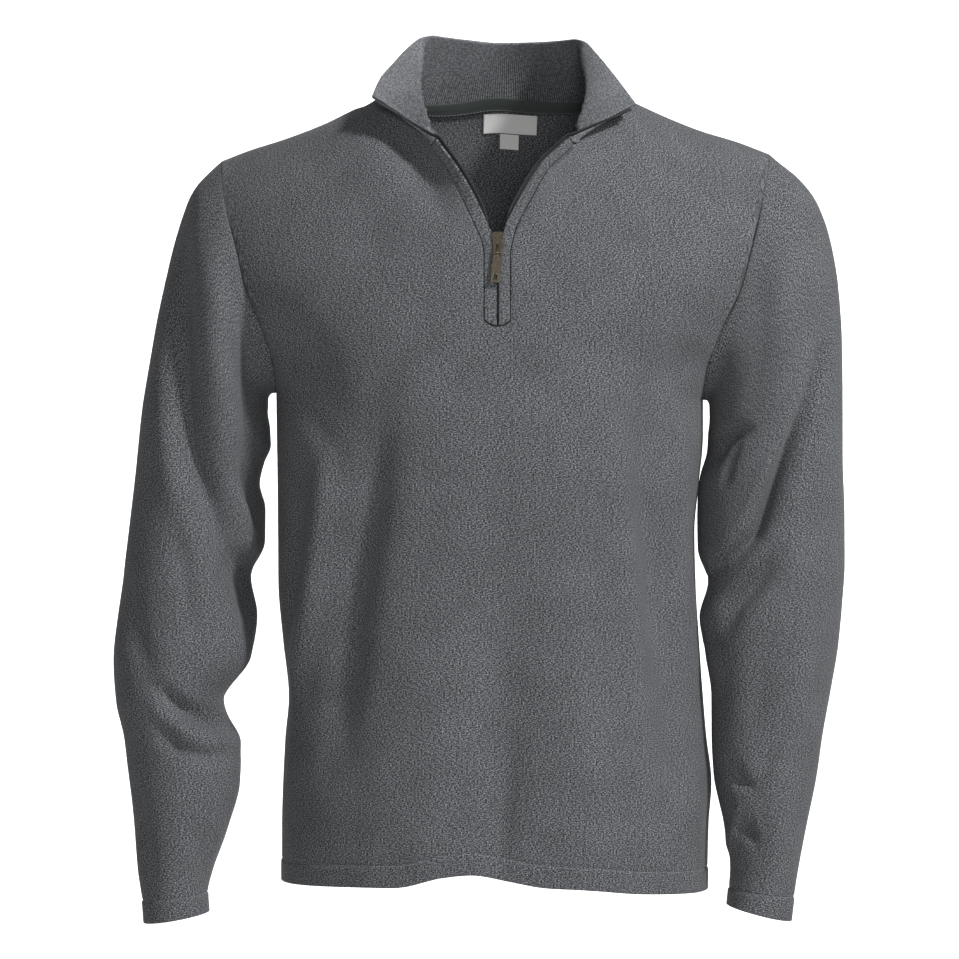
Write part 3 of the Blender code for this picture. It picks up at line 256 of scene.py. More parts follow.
SLEEVE = {
    "left": np.array([
        (-0.2500, -0.0680, -0.1985, -0.2630, 0.000, 0.0680),
        (-0.2640, -0.0830, -0.2010, -0.2690, 0.000, 0.0690),
        (-0.2780, -0.1080, -0.2010, -0.2800, -0.001, 0.0690),
        (-0.2890, -0.1450, -0.1995, -0.2940, -0.002, 0.0680),
        (-0.2970, -0.1900, -0.1990, -0.3090, -0.003, 0.0665),
        (-0.3040, -0.2350, -0.2040, -0.3250, -0.004, 0.0650),
        (-0.3110, -0.2800, -0.2070, -0.3430, -0.005, 0.0630),
        (-0.3160, -0.3300, -0.2030, -0.3660, -0.006, 0.0610),
        (-0.3215, -0.3780, -0.2035, -0.3940, -0.007, 0.0590),
        (-0.3265, -0.4200, -0.2155, -0.4250, -0.009, 0.0570),
        (-0.3315, -0.4580, -0.2100, -0.4580, -0.011, 0.0560),
        (-0.3350, -0.4960, -0.2165, -0.4950, -0.014, 0.0550),
        (-0.3325, -0.5320, -0.2400, -0.5330, -0.017, 0.0520),
        (-0.3250, -0.5650, -0.2245, -0.5700, -0.020, 0.0500),
        (-0.3210, -0.5980, -0.2255, -0.6030, -0.023, 0.0470),
        (-0.3160, -0.6400, -0.2360, -0.6430, -0.027, 0.0420),
        (-0.3120, -0.6800, -0.2480, -0.6790, -0.031, 0.0370),
        (-0.3075, -0.7080, -0.2530, -0.7010, -0.034, 0.0340),
        (-0.3060, -0.7245, -0.2520, -0.7150, -0.036, 0.0330),
    ]),
    "right": np.array([
        (0.2480, -0.0620, 0.1850, -0.2690, 0.000, 0.0680),
        (0.2640, -0.0750, 0.1870, -0.2750, 0.000, 0.0690),
        (0.2800, -0.0960, 0.1868, -0.2860, -0.001, 0.0690),
        (0.2920, -0.1300, 0.1855, -0.2990, -0.002, 0.0680),
        (0.2990, -0.1720, 0.1835, -0.3140, -0.003, 0.0665),
        (0.3020, -0.2200, 0.1800, -0.3310, -0.004, 0.0650),
        (0.3025, -0.2700, 0.1772, -0.3510, -0.005, 0.0630),
        (0.3025, -0.3200, 0.1768, -0.3740, -0.006, 0.0610),
        (0.3040, -0.3700, 0.1772, -0.4000, -0.007, 0.0590),
        (0.3040, -0.4100, 0.1860, -0.4290, -0.009, 0.0570),
        (0.3015, -0.4480, 0.1785, -0.4600, -0.011, 0.0560),
        (0.2975, -0.4860, 0.1835, -0.4930, -0.014, 0.0550),
        (0.2905, -0.5250, 0.1885, -0.5290, -0.017, 0.0520),
        (0.2835, -0.5620, 0.1885, -0.5620, -0.020, 0.0500),
        (0.2780, -0.5980, 0.1900, -0.5960, -0.023, 0.0470),
        (0.2690, -0.6400, 0.1985, -0.6380, -0.027, 0.0420),
        (0.2610, -0.6800, 0.2040, -0.6760, -0.031, 0.0370),
        (0.2570, -0.7040, 0.2025, -0.6960, -0.034, 0.0340),
        (0.2545, -0.7225, 0.2010, -0.7090, -0.036, 0.0330),
    ]),
}
WAY, TOP_X, TOP_Y, TOP_Z, DRAWN_IN = range(5)
COLLAR_TOP = np.array([
    (0.000, -0.1065, -0.088, -0.0120, 0.000), (0.080, -0.1000, -0.067, 0.0055, 0.000),
    (0.150, -0.0890, -0.044, 0.0215, 0.002), (0.210, -0.0775, -0.017, 0.0375, 0.003),
    (0.270, -0.0655, 0.008, 0.0495, 0.001), (0.330, -0.0540, 0.030, 0.0535, -0.003),
    (0.410, -0.0290, 0.050, 0.0525, -0.003), (0.500, 0.0030, 0.058, 0.0505, -0.003),
    (0.590, 0.0380, 0.051, 0.0505, -0.003), (0.670, 0.0660, 0.031, 0.0505, -0.003),
    (0.730, 0.0765, 0.008, 0.0460, 0.001), (0.790, 0.0850, -0.017, 0.0340, 0.003),
    (0.850, 0.0945, -0.041, 0.0190, 0.002), (0.920, 0.1055, -0.063, 0.0015, 0.000),
    (1.000, 0.1180, -0.083, -0.0185, 0.000),
])
print("sleeve rings:", {side: len(table) for side, table in SLEEVE.items()})

# %% How finely the surfaces are divided
SIDE_COLS, NECK_COLS, SLOT_COLS = 28, 24, 8
ARCH_LOW, ARCH_HIGH = 16, 58
SLEEVE_LENGTH = 0.60
HEM_ROWS = np.array([0.0, 0.002, 0.006, 0.010, 0.014, 0.0168, 0.0181, 0.0190, 0.0199, 0.0212, 0.0240])
BODY_ROWS = 84
SLEEVE_ROWS = 128

# %% [markdown]
# ## Curves and surfaces
#
# A garment's surface has no corners between its measured stations, so each table is read through a
# smooth curve that never overshoots. The torso is a stack of rounded rings up to the underarm, and an
# arch from the chest over to the shoulder seams above it. Each is a function of two numbers, the
# share across and the level, so it can be worked out as finely as needed.

# %% Smooth reading of tables
def smooth(xs, ys, at):
    """Piecewise cubics through the values ys at xs; each slope is the harmonic mean of its neighbours'."""
    at = np.clip(at, xs[0], xs[-1])
    lift = (slice(None),) + (None,) * (ys.ndim - 1)
    step = np.diff(xs)
    rate = np.diff(ys, axis=0) / step[lift]
    same_way = rate[1:] * rate[:-1] > 0
    both = np.where(same_way, rate[1:] + rate[:-1], 1.0)
    inner = np.where(same_way, 2 * rate[1:] * rate[:-1] / both, 0.0)
    slope = np.concatenate((rate[:1], inner, rate[-1:]))
    k = np.clip(np.searchsorted(xs, at, side="right") - 1, 0, len(step) - 1)
    part, width = (at - xs[k]) / step[k], step[k]
    if ys.ndim > 1:
        part, width = part[lift], width[lift]
    bend = 3 * rate[k] - 2 * slope[k] - slope[k + 1]
    twist = slope[k] + slope[k + 1] - 2 * rate[k]
    return ys[k] + width * part * (slope[k] + part * (bend + twist * part))


def through(table, column, at, along=0):
    """One column of a table, read smoothly at places in another."""
    return smooth(table[:, along], table[:, column], at)


def unit(vectors):
    """Each vector over its own length."""
    return vectors / np.maximum(np.linalg.norm(vectors, axis=-1, keepdims=True), 1e-12)


def square_to(vectors, way):
    """Unit vectors: what is left of each once its part along the unit vector way is taken out."""
    return unit(vectors - way * np.sum(vectors * way, axis=1, keepdims=True))


def distances(line):
    """How far along a line each of its points lies; for a grid, the mean over its columns."""
    step = np.linalg.norm(np.diff(line, axis=0), axis=-1)
    if step.ndim > 1:
        step = step.mean(axis=1)
    return np.concatenate([[0], np.cumsum(step)])


def soft_step(x):
    """0 below 0, 1 above 1, and 3x squared minus 2x cubed between."""
    x = np.clip(x, 0, 1)
    return x * x * (3 - 2 * x)


def normals(grid, wrap=False):
    """Unit normals: the cross product of the way across and the way up."""
    if wrap:
        around = np.roll(grid, -1, axis=1) - np.roll(grid, 1, axis=1)
    else:
        around = np.gradient(grid, axis=1)
    return unit(np.cross(around, np.gradient(grid, axis=0)))


def calm(field, times):
    """Even out a field along its columns with weights 1, 2, 1; its two ends stay."""
    for _ in range(times):
        field = field.copy()
        field[:, 1:-1] = (field[:, :-2] + 2 * field[:, 1:-1] + field[:, 2:]) / 4
    return field


# %% Torso surface
def share_across(x):
    """-1 at the left shoulder point, 1 at the right."""
    left, right = ARMHOLE[-1, SEAM_LEFT], ARMHOLE[-1, SEAM_RIGHT]
    return 2 * (x - left) / (right - left) - 1


SHARE_LEFT, SHARE_RIGHT = share_across(NECK_LEFT), share_across(NECK_RIGHT)
SLOT_LEFT, SLOT_RIGHT = -0.060, 0.055


def armhole(side, angle, facing):
    """The armhole seam: half an ellipse seen from the side, its x read from the table by its rise."""
    rise = (1 + np.sin(angle)) / 2
    x = through(ARMHOLE, SEAM_LEFT if side == "left" else SEAM_RIGHT, rise)
    z = UNDERARM_Z[side] + (SHOULDER_Z[side] - UNDERARM_Z[side]) * rise
    return np.stack([x, facing * ARMHOLE_DEPTH * np.cos(angle), z], axis=-1)


def torso(across, level, facing):
    """Levels 0 to 1: rings with |x|^n + |y|^n = 1 up to the underarm. Levels 1 to 2: an arch whose
    depth falls with the rise as the n-th root of 1 - rise^n, up to the shoulder seam."""
    across, level = np.broadcast_arrays(np.asarray(across, float), np.asarray(level, float))
    share = (1 + across) / 2
    under = (1 - share) * UNDERARM_Z["left"] + share * UNDERARM_Z["right"]
    hem = through(HEM, HEM_Z, across) if facing < 0 else np.full_like(under, HEM_BACK)
    ends = soft_step((np.abs(across) - 0.90) / 0.10)
    hem = hem + (through(HEM, HEM_Z, across) - hem) * ends
    z_low = hem + (under - hem) * np.clip(level, 0, 1)
    reach = FRONT if facing < 0 else BACK
    roundness = np.maximum(1 - np.abs(across) ** SQUARENESS, 0) ** (1 / SQUARENESS)
    x_low = (1 - share) * through(TORSO, LEFT, z_low) + share * through(TORSO, RIGHT, z_low)
    y_low = facing * through(TORSO, reach, z_low) * roundness
    angle = np.radians(-90 + 180 * np.clip(level - 1, 0, 1))
    left, right = armhole("left", angle, facing), armhole("right", angle, facing)
    x_up = (1 - share) * left[..., 0] + share * right[..., 0]
    rise = (1 + np.sin(angle)) / 2
    top_x = (1 - share) * ARMHOLE[-1, SEAM_LEFT] + share * ARMHOLE[-1, SEAM_RIGHT]
    top = through(SHOULDER, SEAM_Z, top_x)
    if facing > 0:
        off = (top_x - (NECK_LEFT + NECK_RIGHT) / 2) / ((NECK_RIGHT - NECK_LEFT) / 2)
        top = top + BACK_NECK_LIFT * np.maximum(1 - off ** 2, 0) ** 1.4
    z_up = under + (top - under) * rise
    power = ARCH_NECK + (ARCH_ARM - ARCH_NECK) * across ** 2
    arch = np.maximum(1 - rise ** power, 0) ** (1 / power)
    chest = through(TORSO, reach, under)
    late = 1 - np.sqrt(roundness) * (1 - soft_step(rise / 0.25))
    at_arm = (ARMHOLE_DEPTH * np.cos(angle)) ** 2 * late
    y_up = facing * np.sqrt(at_arm + ((chest * arch) ** 2 - at_arm) * roundness ** 2)
    upper = (level > 1)[..., None]
    return np.where(upper, np.stack([x_up, y_up, z_up], -1), np.stack([x_low, y_low, z_low], -1))


# %% Columns and rows of the two panels
def columns():
    """Shares across, closer together towards the side seams and the high shoulder points."""
    side = np.sin(np.pi / 2 * np.linspace(0, 1, SIDE_COLS + 1))
    even = np.linspace(0, 1, NECK_COLS + 1)
    ease = (even + np.sin(np.pi / 2 * even)) / 2
    return np.concatenate([
        (-1 + (1 + SHARE_LEFT) * (1 - side[::-1]))[:-1],
        (SLOT_LEFT + (SHARE_LEFT - SLOT_LEFT) * ease[::-1])[:-1],
        np.linspace(SLOT_LEFT, SLOT_RIGHT, SLOT_COLS + 1),
        (SLOT_RIGHT + (SHARE_RIGHT - SLOT_RIGHT) * ease)[1:],
        (SHARE_RIGHT + (1 - SHARE_RIGHT) * side)[1:]])


def neck_angle(across, facing):
    """How far up the arch a column ends; inside the neck it is an ellipse-like curve below 90 degrees."""
    end = FRONT_NECK_ANGLE if facing < 0 else BACK_NECK_ANGLE
    edge = np.where(across < 0, SLOT_LEFT, SLOT_RIGHT)
    neck = np.where(across < 0, SHARE_LEFT, SHARE_RIGHT)
    part = np.clip((across - edge) / (neck - edge), 0, 1)
    inside = (across > SHARE_LEFT) & (across < SHARE_RIGHT)
    below = (1 - part ** 1.4) ** 0.76 if facing < 0 else np.sqrt(1 - part ** 2)
    return np.where(inside, 90 - (90 - end) * below, 90.0)


def arch_angles(top):
    """Angles up the arch for all rows above the underarm, for columns that end at the angles top."""
    foot_rise = (SLOT_FOOT - UNDERARM_Z["left"]) / (0.004 - UNDERARM_Z["left"])
    foot = np.degrees(np.arcsin(2 * foot_rise - 1))
    below = np.linspace(-90, foot, ARCH_LOW + 1)[1:]
    parts = np.linspace(0, 1, ARCH_HIGH + 1)[1:]
    above = foot + (top[None, :] - foot) * parts[:, None]
    return np.concatenate([np.repeat(below[:, None], len(top), axis=1), above])


UNDER_ROW = len(HEM_ROWS) + BODY_ROWS - 1
FOOT_ROW = UNDER_ROW + ARCH_LOW
LEFT_COL = SIDE_COLS + NECK_COLS
RIGHT_COL = LEFT_COL + SLOT_COLS
ACROSS_COLS = columns()
print("panel grid:", FOOT_ROW + ARCH_HIGH + 1, "by", len(ACROSS_COLS))

# %% [markdown]
# ## Creases
#
# Knit that hangs from the shoulders and from bent arms falls into a few long soft troughs and ridges,
# and sharper ones at the elbows and wrists. A cloth simulation would give others than this garment's,
# so each is listed one by one: a short polyline in the front view with its half width and depth. The
# surface is pressed along its normal by a bell curve of the distance from that line, and a lean
# makes one flank steeper than the other, as in a real fold that lies over.

# %% Fold tables
# Lines are points (x, z) in millimetres in the front view; then half width, depth and lean, also in
# millimetres apart from the lean. A positive depth goes in.
FRONT_FOLDS = [
    ([(-98, -270), (-105, -330), (-118, -400), (-130, -480), (-138, -570)], 22, 14.0, 0.2),
    ([(-101, -308), (-110, -380), (-121, -440), (-127, -490), (-133, -560)], 11, 4.2, -0.3),
    ([(-144, -320), (-147, -345), (-155, -410), (-162, -460), (-171, -512), (-176, -560)], 9, -6.5, 0.9),
    ([(-172, -330), (-174, -400), (-180, -470)], 13, 6.4, 0.0),
    ([(121, -265), (130, -340), (137, -420), (147, -520), (152, -600)], 20, 13.0, -0.2),
    ([(122, -300), (132, -400), (143, -500)], 10, 3.5, 0.3),
    ([(101, -300), (110, -360), (118, -430), (122, -540)], 16, -5.4, 0.0),
    ([(160, -330), (163, -420), (166, -500)], 10, -4.0, 0.0),
    ([(11, -380), (9, -440), (7, -540), (2, -640), (1, -680)], 28, 7.0, 0.25),
    ([(14, -560), (8, -620), (5, -680)], 9, 2.6, 0.3),
    ([(-60, -470), (-64, -560), (-70, -680)], 28, -5.1, 0.0),
    ([(-95, -560), (-104, -640), (-108, -690)], 16, -2.9, 0.0),
    ([(62, -470), (70, -560), (78, -690)], 30, -5.1, 0.0),
    ([(168, -560), (172, -620), (170, -690)], 12, -3.8, 0.3),
    ([(-186, -205), (-160, -238), (-140, -285), (-128, -330)], 20, 5.4, 0.0),
    ([(-178, -262), (-150, -300), (-134, -345)], 10, 3.5, 0.2),
    ([(174, -215), (152, -245), (136, -290)], 18, 4.8, 0.0),
    ([(170, -268), (150, -296), (140, -335)], 10, 3.2, -0.2),
    ([(-150, -75), (-120, -110), (-100, -160)], 22, 2.9, 0.0),
    ([(-108, -22), (-88, -46), (-68, -76), (-54, -104)], 14, 9.0, -0.4),
    ([(146, -78), (118, -112), (98, -160)], 22, 2.4, 0.0),
    ([(-60, -230), (-30, -250), (20, -252), (60, -238)], 26, 2.2, 0.0),
]
BACK_FOLDS = [
    ([(-90, -320), (-98, -420), (-110, -520), (-116, -600)], 26, 8.4, 0.0),
    ([(-88, -340), (-99, -430), (-108, -520)], 10, 3.1, 0.4),
    ([(100, -315), (106, -400), (116, -500), (121, -600)], 26, 8.4, 0.0),
    ([(104, -330), (112, -430), (120, -520)], 10, 3.1, -0.4),
    ([(10, -410), (6, -480), (-2, -580), (-5, -670)], 32, 7.0, 0.2),
    ([(-52, -440), (-56, -560), (-60, -690)], 26, -4.8, 0.0),
    ([(58, -450), (60, -560), (66, -690)], 28, -4.5, 0.0),
    ([(-150, -330), (-158, -440), (-164, -560)], 16, -4.2, 0.4),
    ([(148, -330), (156, -440), (160, -560)], 16, -4.2, -0.4),
    ([(-45, -128), (0, -134), (50, -133)], 22, 4.2, 0.0),
    ([(-178, -210), (-150, -245), (-128, -290)], 18, 4.8, 0.0),
    ([(172, -212), (146, -246), (126, -292)], 18, 4.5, 0.0),
    ([(-110, -160), (-60, -190), (0, -198), (60, -192), (108, -165)], 24, 2.5, 0.0),
]
SLEEVE_FOLDS = {
    "left front": [
        ([(-279, -110), (-279, -165), (-277, -225), (-272, -275), (-262, -322), (-250, -352), (-235, -392),
          (-224, -440)], 15, 17.0, 0.0),
        ([(-290, -170), (-290, -230), (-287, -300), (-280, -360)], 9, -3.7, 0.0),
        ([(-243, -150), (-240, -230), (-235, -290), (-224, -345)], 13, -7.0, 0.0),
        ([(-216, -195), (-213, -240), (-211, -280), (-214, -350)], 11, 11.0, 0.0),
        ([(-224, -320), (-212, -355), (-204, -385), (-206, -420)], 7, 8.5, -0.6),
        ([(-222, -405), (-214, -440), (-216, -480)], 9, 9.3, -0.3),
        ([(-278, -382), (-270, -420), (-262, -470)], 9, 3.7, 0.0),
        ([(-318, -430), (-308, -480), (-294, -520)], 11, 4.0, 0.2),
        ([(-290, -518), (-268, -535), (-244, -546), (-220, -557)], 8.0, 10.0, 0.7),
        ([(-298, -512), (-292, -540), (-270, -556), (-240, -566)], 7, -2.8, 0.0),
        ([(-292, -555), (-276, -574), (-250, -581), (-226, -578)], 8, 7.0, -0.4),
        ([(-312, -600), (-304, -640), (-294, -690)], 8, 3.4, 0.4),
        ([(-262, -640), (-256, -660), (-252, -690)], 8, 4.0, 0.0),
        ([(-252, -596), (-246, -620), (-246, -645)], 8, -2.8, 0.0),
    ],
    "left back": [
        ([(-268, -180), (-262, -250), (-250, -330)], 15, 7.8, 0.3),
        ([(-292, -330), (-270, -370), (-245, -425)], 12, 7.0, -0.4),
        ([(-318, -498), (-285, -512), (-248, -522)], 9, 7.0, 0.5),
        ([(-310, -540), (-280, -556), (-245, -560)], 8, 5.3, -0.4),
        ([(-308, -590), (-280, -600), (-250, -602)], 9, 4.7, 0.0),
        ([(-228, -230), (-222, -290), (-220, -350)], 11, 7.0, 0.0),
        ([(-284, -620), (-276, -660), (-270, -700)], 10, -3.1, 0.0),
    ],
    "right front": [
        ([(278, -230), (271, -258), (262, -282), (249, -312), (232, -350), (218, -384),
          (192, -414)], 8.0, 15.0, -0.9),
        ([(264, -300), (248, -335), (230, -370), (206, -404)], 12, 8.0, -0.3),
        ([(214, -296), (203, -298), (192, -308), (184, -326)], 7.0, 10.0, -0.5),
        ([(210, -308), (203, -325), (198, -346)], 4.0, 3.4, 0.3),
        ([(240, -404), (224, -424), (204, -445), (188, -474)], 10, 10.0, -0.5),
        ([(288, -402), (276, -407), (262, -404)], 6, 2.2, 0.0),
        ([(244, -575), (234, -586), (224, -602)], 7, 5.0, 0.4),
        ([(202, -588), (210, -600), (222, -606)], 6, 7.1, 0.0),
        ([(206, -634), (216, -642), (222, -652)], 5, 6.8, 0.0),
        ([(210, -622), (207, -640), (203, -664)], 4, -4.0, 0.5),
        ([(250, -190), (246, -240), (238, -285)], 12, -3.4, 0.0),
        ([(222, -150), (226, -195), (222, -240)], 12, 3.4, 0.0),
        ([(190, -214), (181, -232), (176, -256)], 7, 7.0, 0.0),
        ([(268, -440), (262, -500), (252, -560)], 13, -3.7, 0.0),
        ([(232, -470), (226, -520), (222, -566)], 12, 3.4, 0.0),
        ([(248, -600), (242, -640), (238, -690)], 9, -2.8, 0.3),
    ],
    "right back": [
        ([(264, -180), (258, -250), (242, -330)], 15, 7.8, -0.3),
        ([(286, -365), (250, -405), (215, -440)], 12, 7.0, 0.4),
        ([(278, -505), (245, -516), (210, -522)], 9, 7.0, -0.5),
        ([(268, -545), (236, -556), (206, -556)], 8, 5.0, 0.4),
        ([(262, -596), (235, -604), (206, -606)], 9, 4.7, 0.0),
        ([(205, -235), (198, -290), (192, -350)], 11, 6.2, 0.0),
        ([(240, -630), (234, -665), (230, -700)], 10, -3.1, 0.0),
    ],
}


def fold_depth(points, folds):
    """Sum over the folds of depth times (bell + lean times its slope), faded softly at both ends.

    The distance is to the nearest of the polyline's segments, and its sign tells the flank.
    """
    total = np.zeros(points.shape[:-1])
    flat = points[..., [0, 2]] * 1000
    for line, width, depth, lean in folds:
        line = np.array(line, float)
        run = np.diff(line, axis=0)
        length = np.linalg.norm(run, axis=1)
        before = np.concatenate([[0], np.cumsum(length)])
        best = np.full(total.shape, np.inf)
        side, way = np.zeros(total.shape), np.zeros(total.shape)
        for k, start in enumerate(line[:-1]):
            off = flat - start
            along = np.clip(off @ run[k] / length[k] ** 2, 0, 1)
            gap = off - along[..., None] * run[k]
            away = np.linalg.norm(gap, axis=-1)
            nearer = away < best
            best = np.where(nearer, away, best)
            side = np.where(nearer, np.sign(off[..., 0] * run[k, 1] - off[..., 1] * run[k, 0]) * away, side)
            way = np.where(nearer, before[k] + along * length[k], way)
        share = way / before[-1]
        taper = np.sin(np.pi * np.clip(0.06 + 0.88 * share, 0, 1)) ** 0.7
        t = side / width
        bell = np.exp(-(best / width) ** 2)
        total += depth / 1000 * taper * (bell + lean * 1.3 * t * bell)
    return total


print("folds:", len(FRONT_FOLDS) + len(BACK_FOLDS) + sum(len(rows) for rows in SLEEVE_FOLDS.values()))

# %% Panels
def open_slot(grid):
    """Shift the columns beside the zip so that the slot's edges run where their table puts them."""
    x, z = grid[..., 0].copy(), grid[..., 2]
    shift_left = through(SLOT, EDGE_LEFT, z[:, LEFT_COL]) - x[:, LEFT_COL]
    shift_right = through(SLOT, EDGE_RIGHT, z[:, RIGHT_COL]) - x[:, RIGHT_COL]
    across = ACROSS_COLS
    fade_left = np.clip((across - SHARE_LEFT) / (across[LEFT_COL] - SHARE_LEFT), 0, 1)
    fade_right = np.clip((SHARE_RIGHT - across) / (SHARE_RIGHT - across[RIGHT_COL]), 0, 1)
    between = np.clip((across - across[LEFT_COL]) / (across[RIGHT_COL] - across[LEFT_COL]), 0, 1)
    weight_left = np.where(across <= across[LEFT_COL], fade_left, 1 - between)
    weight_right = np.where(across >= across[RIGHT_COL], fade_right, between)
    grid[..., 0] = x + shift_left[:, None] * weight_left + shift_right[:, None] * weight_right
    roll = soft_step((z - TURN_FROM) / TURN_OVER)
    grid[..., 1] -= EDGE_LIFT * roll * np.maximum(weight_left, weight_right) ** 2
    below = z[FOOT_ROW, LEFT_COL] - z[:FOOT_ROW + 1]
    dip = SLOT_ROUND * (1 - (2 * between - 1) ** 2)
    grid[:FOOT_ROW + 1, :, 2] -= dip * soft_step(1 - below / 0.020)
    return grid


def panel(facing):
    """Middle surface of the front or the back: rows from the hem up, columns to the left hand outside."""
    height = UNDERARM_Z["left"] - HEM_BACK
    hem = HEM_ROWS / height
    low = np.concatenate([hem, np.linspace(hem[-1], 1, BODY_ROWS + 1)[1:]])
    low = np.repeat(low[:, None], len(ACROSS_COLS), axis=1)
    upper = arch_angles(neck_angle(ACROSS_COLS, facing))
    grid = torso(ACROSS_COLS[None, :], np.concatenate([low, 1 + (upper + 90) / 180]), facing)
    across = ACROSS_COLS
    if facing < 0:
        grid = open_slot(grid)
    else:
        grid, across = grid[:, ::-1], across[::-1]
    depth = fold_depth(grid, FRONT_FOLDS if facing < 0 else BACK_FOLDS)
    fade = soft_step((1 - np.abs(across)) / 0.07)
    return grid - normals(grid) * (depth * fade)[..., None]


front, back = panel(-1), panel(1)
print("front reaches y", round(float(front[..., 1].min()), 4), "back", round(float(back[..., 1].max()), 4))

# %% [markdown]
# ## Cloth walls
#
# Every piece of cloth is a closed thin wall: the middle surface moved out and in along its normals,
# and joined by rounded rims. A Solidify modifier could do that too, but the wall is made here by
# hand, because the hem is thicker than the rest, neighbours share mitred normals at their seams,
# and the knit's pattern needs its own map, in metres along and across the cloth.

# %% Wall builder
def cloth_map(grid, wrap=False):
    """Metres along each row from its middle, and metres up each column from its foot.

    Round a tube each row has one height, the mean of its columns', as its rows of stitches have.
    """
    closed = np.concatenate([grid, grid[:, :1]], axis=1) if wrap else grid
    step_u = np.linalg.norm(np.diff(closed, axis=1), axis=-1)
    along = np.concatenate([np.zeros((len(grid), 1)), np.cumsum(step_u, axis=1)], axis=1)
    along -= along[:, along.shape[1] // 2][:, None]
    step_v = np.linalg.norm(np.diff(closed, axis=0), axis=-1)
    up = np.concatenate([np.zeros((1, closed.shape[1])), np.cumsum(step_v, axis=0)])
    if wrap:
        up = np.repeat(up.mean(axis=1, keepdims=True), up.shape[1], axis=1)
    return np.stack([along, up], axis=-1)


RIM_TURN = np.array([(0.18, 0.75), (0.0, 0.0), (0.18, -0.75)])   # back from the rim, share of the thickness


def wall(name, grid, outer, inner, material, normal=None, keep=None, wrap=False, rim=0.0006,
         uv=None, painted_rib_shade=None):
    """Closed wall round a middle surface: outer and inner faces, and rims of three rounded steps."""
    rows, cols = grid.shape[:2]
    normal = normals(grid, wrap) if normal is None else normal
    outer = np.broadcast_to(np.asarray(outer, float), (rows, cols)).reshape(-1, 1)
    inner = np.broadcast_to(np.asarray(inner, float), (rows, cols)).reshape(-1, 1)
    middle, out = grid.reshape(-1, 3), normal.reshape(-1, 3)
    wide = cols if wrap else cols - 1
    i, j = np.mgrid[0:rows - 1, 0:wide]
    a, b = i * cols + j, i * cols + (j + 1) % cols
    c, d = (i + 1) * cols + (j + 1) % cols, (i + 1) * cols + j
    mask = np.ones((rows - 1, wide), bool) if keep is None else keep[:, :wide]
    uv = cloth_map(grid, wrap) if uv is None else uv
    every = np.stack([uv[i, j], uv[i, j + 1], uv[i + 1, j + 1], uv[i + 1, j]], axis=2)
    corner = every[mask]
    quads = np.stack([a, b, c, d], axis=-1)[mask]
    framed = np.zeros((rows + 1, wide + 2), bool)
    framed[1:-1, 1:-1] = mask
    if wrap:
        framed[:, 0], framed[:, -1] = framed[:, -2], framed[:, 1]
    here = framed[1:-1, 1:-1]
    picks = [(a, b, ~framed[:-2, 1:-1], 0, 1), (b, c, ~framed[1:-1, 2:], 1, 2),
             (c, d, ~framed[2:, 1:-1], 2, 3), (d, a, ~framed[1:-1, :-2], 3, 0)]
    edges = np.concatenate([np.stack([p, q], -1)[here & free] for p, q, free, _, _ in picks])
    edge_uv = np.concatenate([every[here & free][:, [m, n]] for _, _, free, m, n in picks])
    ring = np.unique(edges)
    toward, count = np.zeros_like(middle), np.zeros(len(middle))
    np.add.at(toward, quads.ravel(), np.repeat(middle[quads].mean(axis=1), 4, axis=0))
    np.add.at(count, quads.ravel(), 1)
    inward = toward[ring] / count[ring][:, None] - middle[ring]
    inward = square_to(inward, out[ring])
    outside, inside = middle + out * outer, middle - out * inner
    outside[ring] += inward * rim
    inside[ring] += inward * rim
    parts = [outside, inside]
    for back_off, share in RIM_TURN:
        reach = outer[ring] if share >= 0 else inner[ring]
        parts.append(middle[ring] + inward * rim * back_off + out[ring] * share * reach)
    place = np.zeros(len(middle), int)
    place[ring] = np.arange(len(ring))
    half = len(middle)
    levels = [edges] + [2 * half + k * len(ring) + place[edges] for k in range(3)] + [half + edges]
    bands = [np.stack([low[:, 0], high[:, 0], high[:, 1], low[:, 1]], axis=-1)
             for low, high in zip(levels, levels[1:])]
    faces = np.concatenate([quads, (half + quads)[:, ::-1]] + bands)
    rim_uv = edge_uv[:, [0, 0, 1, 1]]
    corners = np.concatenate([corner, corner[:, ::-1]] + [rim_uv] * 4)
    # The painted rib shade follows the points: both faces, then the three rim rings
    if painted_rib_shade is not None:
        painted_rib_shade = np.concatenate([painted_rib_shade.ravel()] * 2 + [painted_rib_shade.ravel()[ring]] * 3)
    return put_mesh(name, np.concatenate(parts), faces, material, corners.reshape(-1, 2), painted_rib_shade=painted_rib_shade)


# %% Seams
def mitre(one, other):
    """Direction of a shared seam: the sum of both normals over one plus their cosine."""
    agree = np.clip(np.sum(one * other, axis=-1, keepdims=True), -0.3, 1)
    return (one + other) / (1 + agree)


def pull_in(grid, rim, inside, distance=SEAM_GAP / 2):
    """Draw a rim of a grid back towards the row or column inside it, to leave room for the seam."""
    grid[rim] = grid[rim] + unit(grid[inside] - grid[rim]) * distance


front_normal, back_normal = normals(front), normals(back)
low_rows = np.s_[:UNDER_ROW + 1]
for mine, other in ((0, -1), (-1, 0)):
    shared = mitre(front_normal[low_rows, mine], back_normal[low_rows, other])
    front_normal[low_rows, mine], back_normal[low_rows, other] = shared, shared
for here in range(SIDE_COLS + 1):
    for mine, other in ((here, -1 - here), (-1 - here, here)):
        shared = mitre(front_normal[-1, mine], back_normal[-1, other])
        front_normal[-1, mine], back_normal[-1, other] = shared, shared

# %% [markdown]
# ## Heather jersey
#
# The yarn is spun from dyed and undyed fibres, so the cloth is charcoal with short blue-grey and pale
# flecks that lie along the rows of stitches, about 2 mm long and under 1 mm high. Real stitches are
# 0.9 mm wide, finer than a pixel here, so the relief is drawn a little coarser. Two stretched noises
# on the cloth's own map give the flecks, and a third mottles it softly. Matt wool-like yarn has high
# roughness and a faint pale sheen at grazing angles.

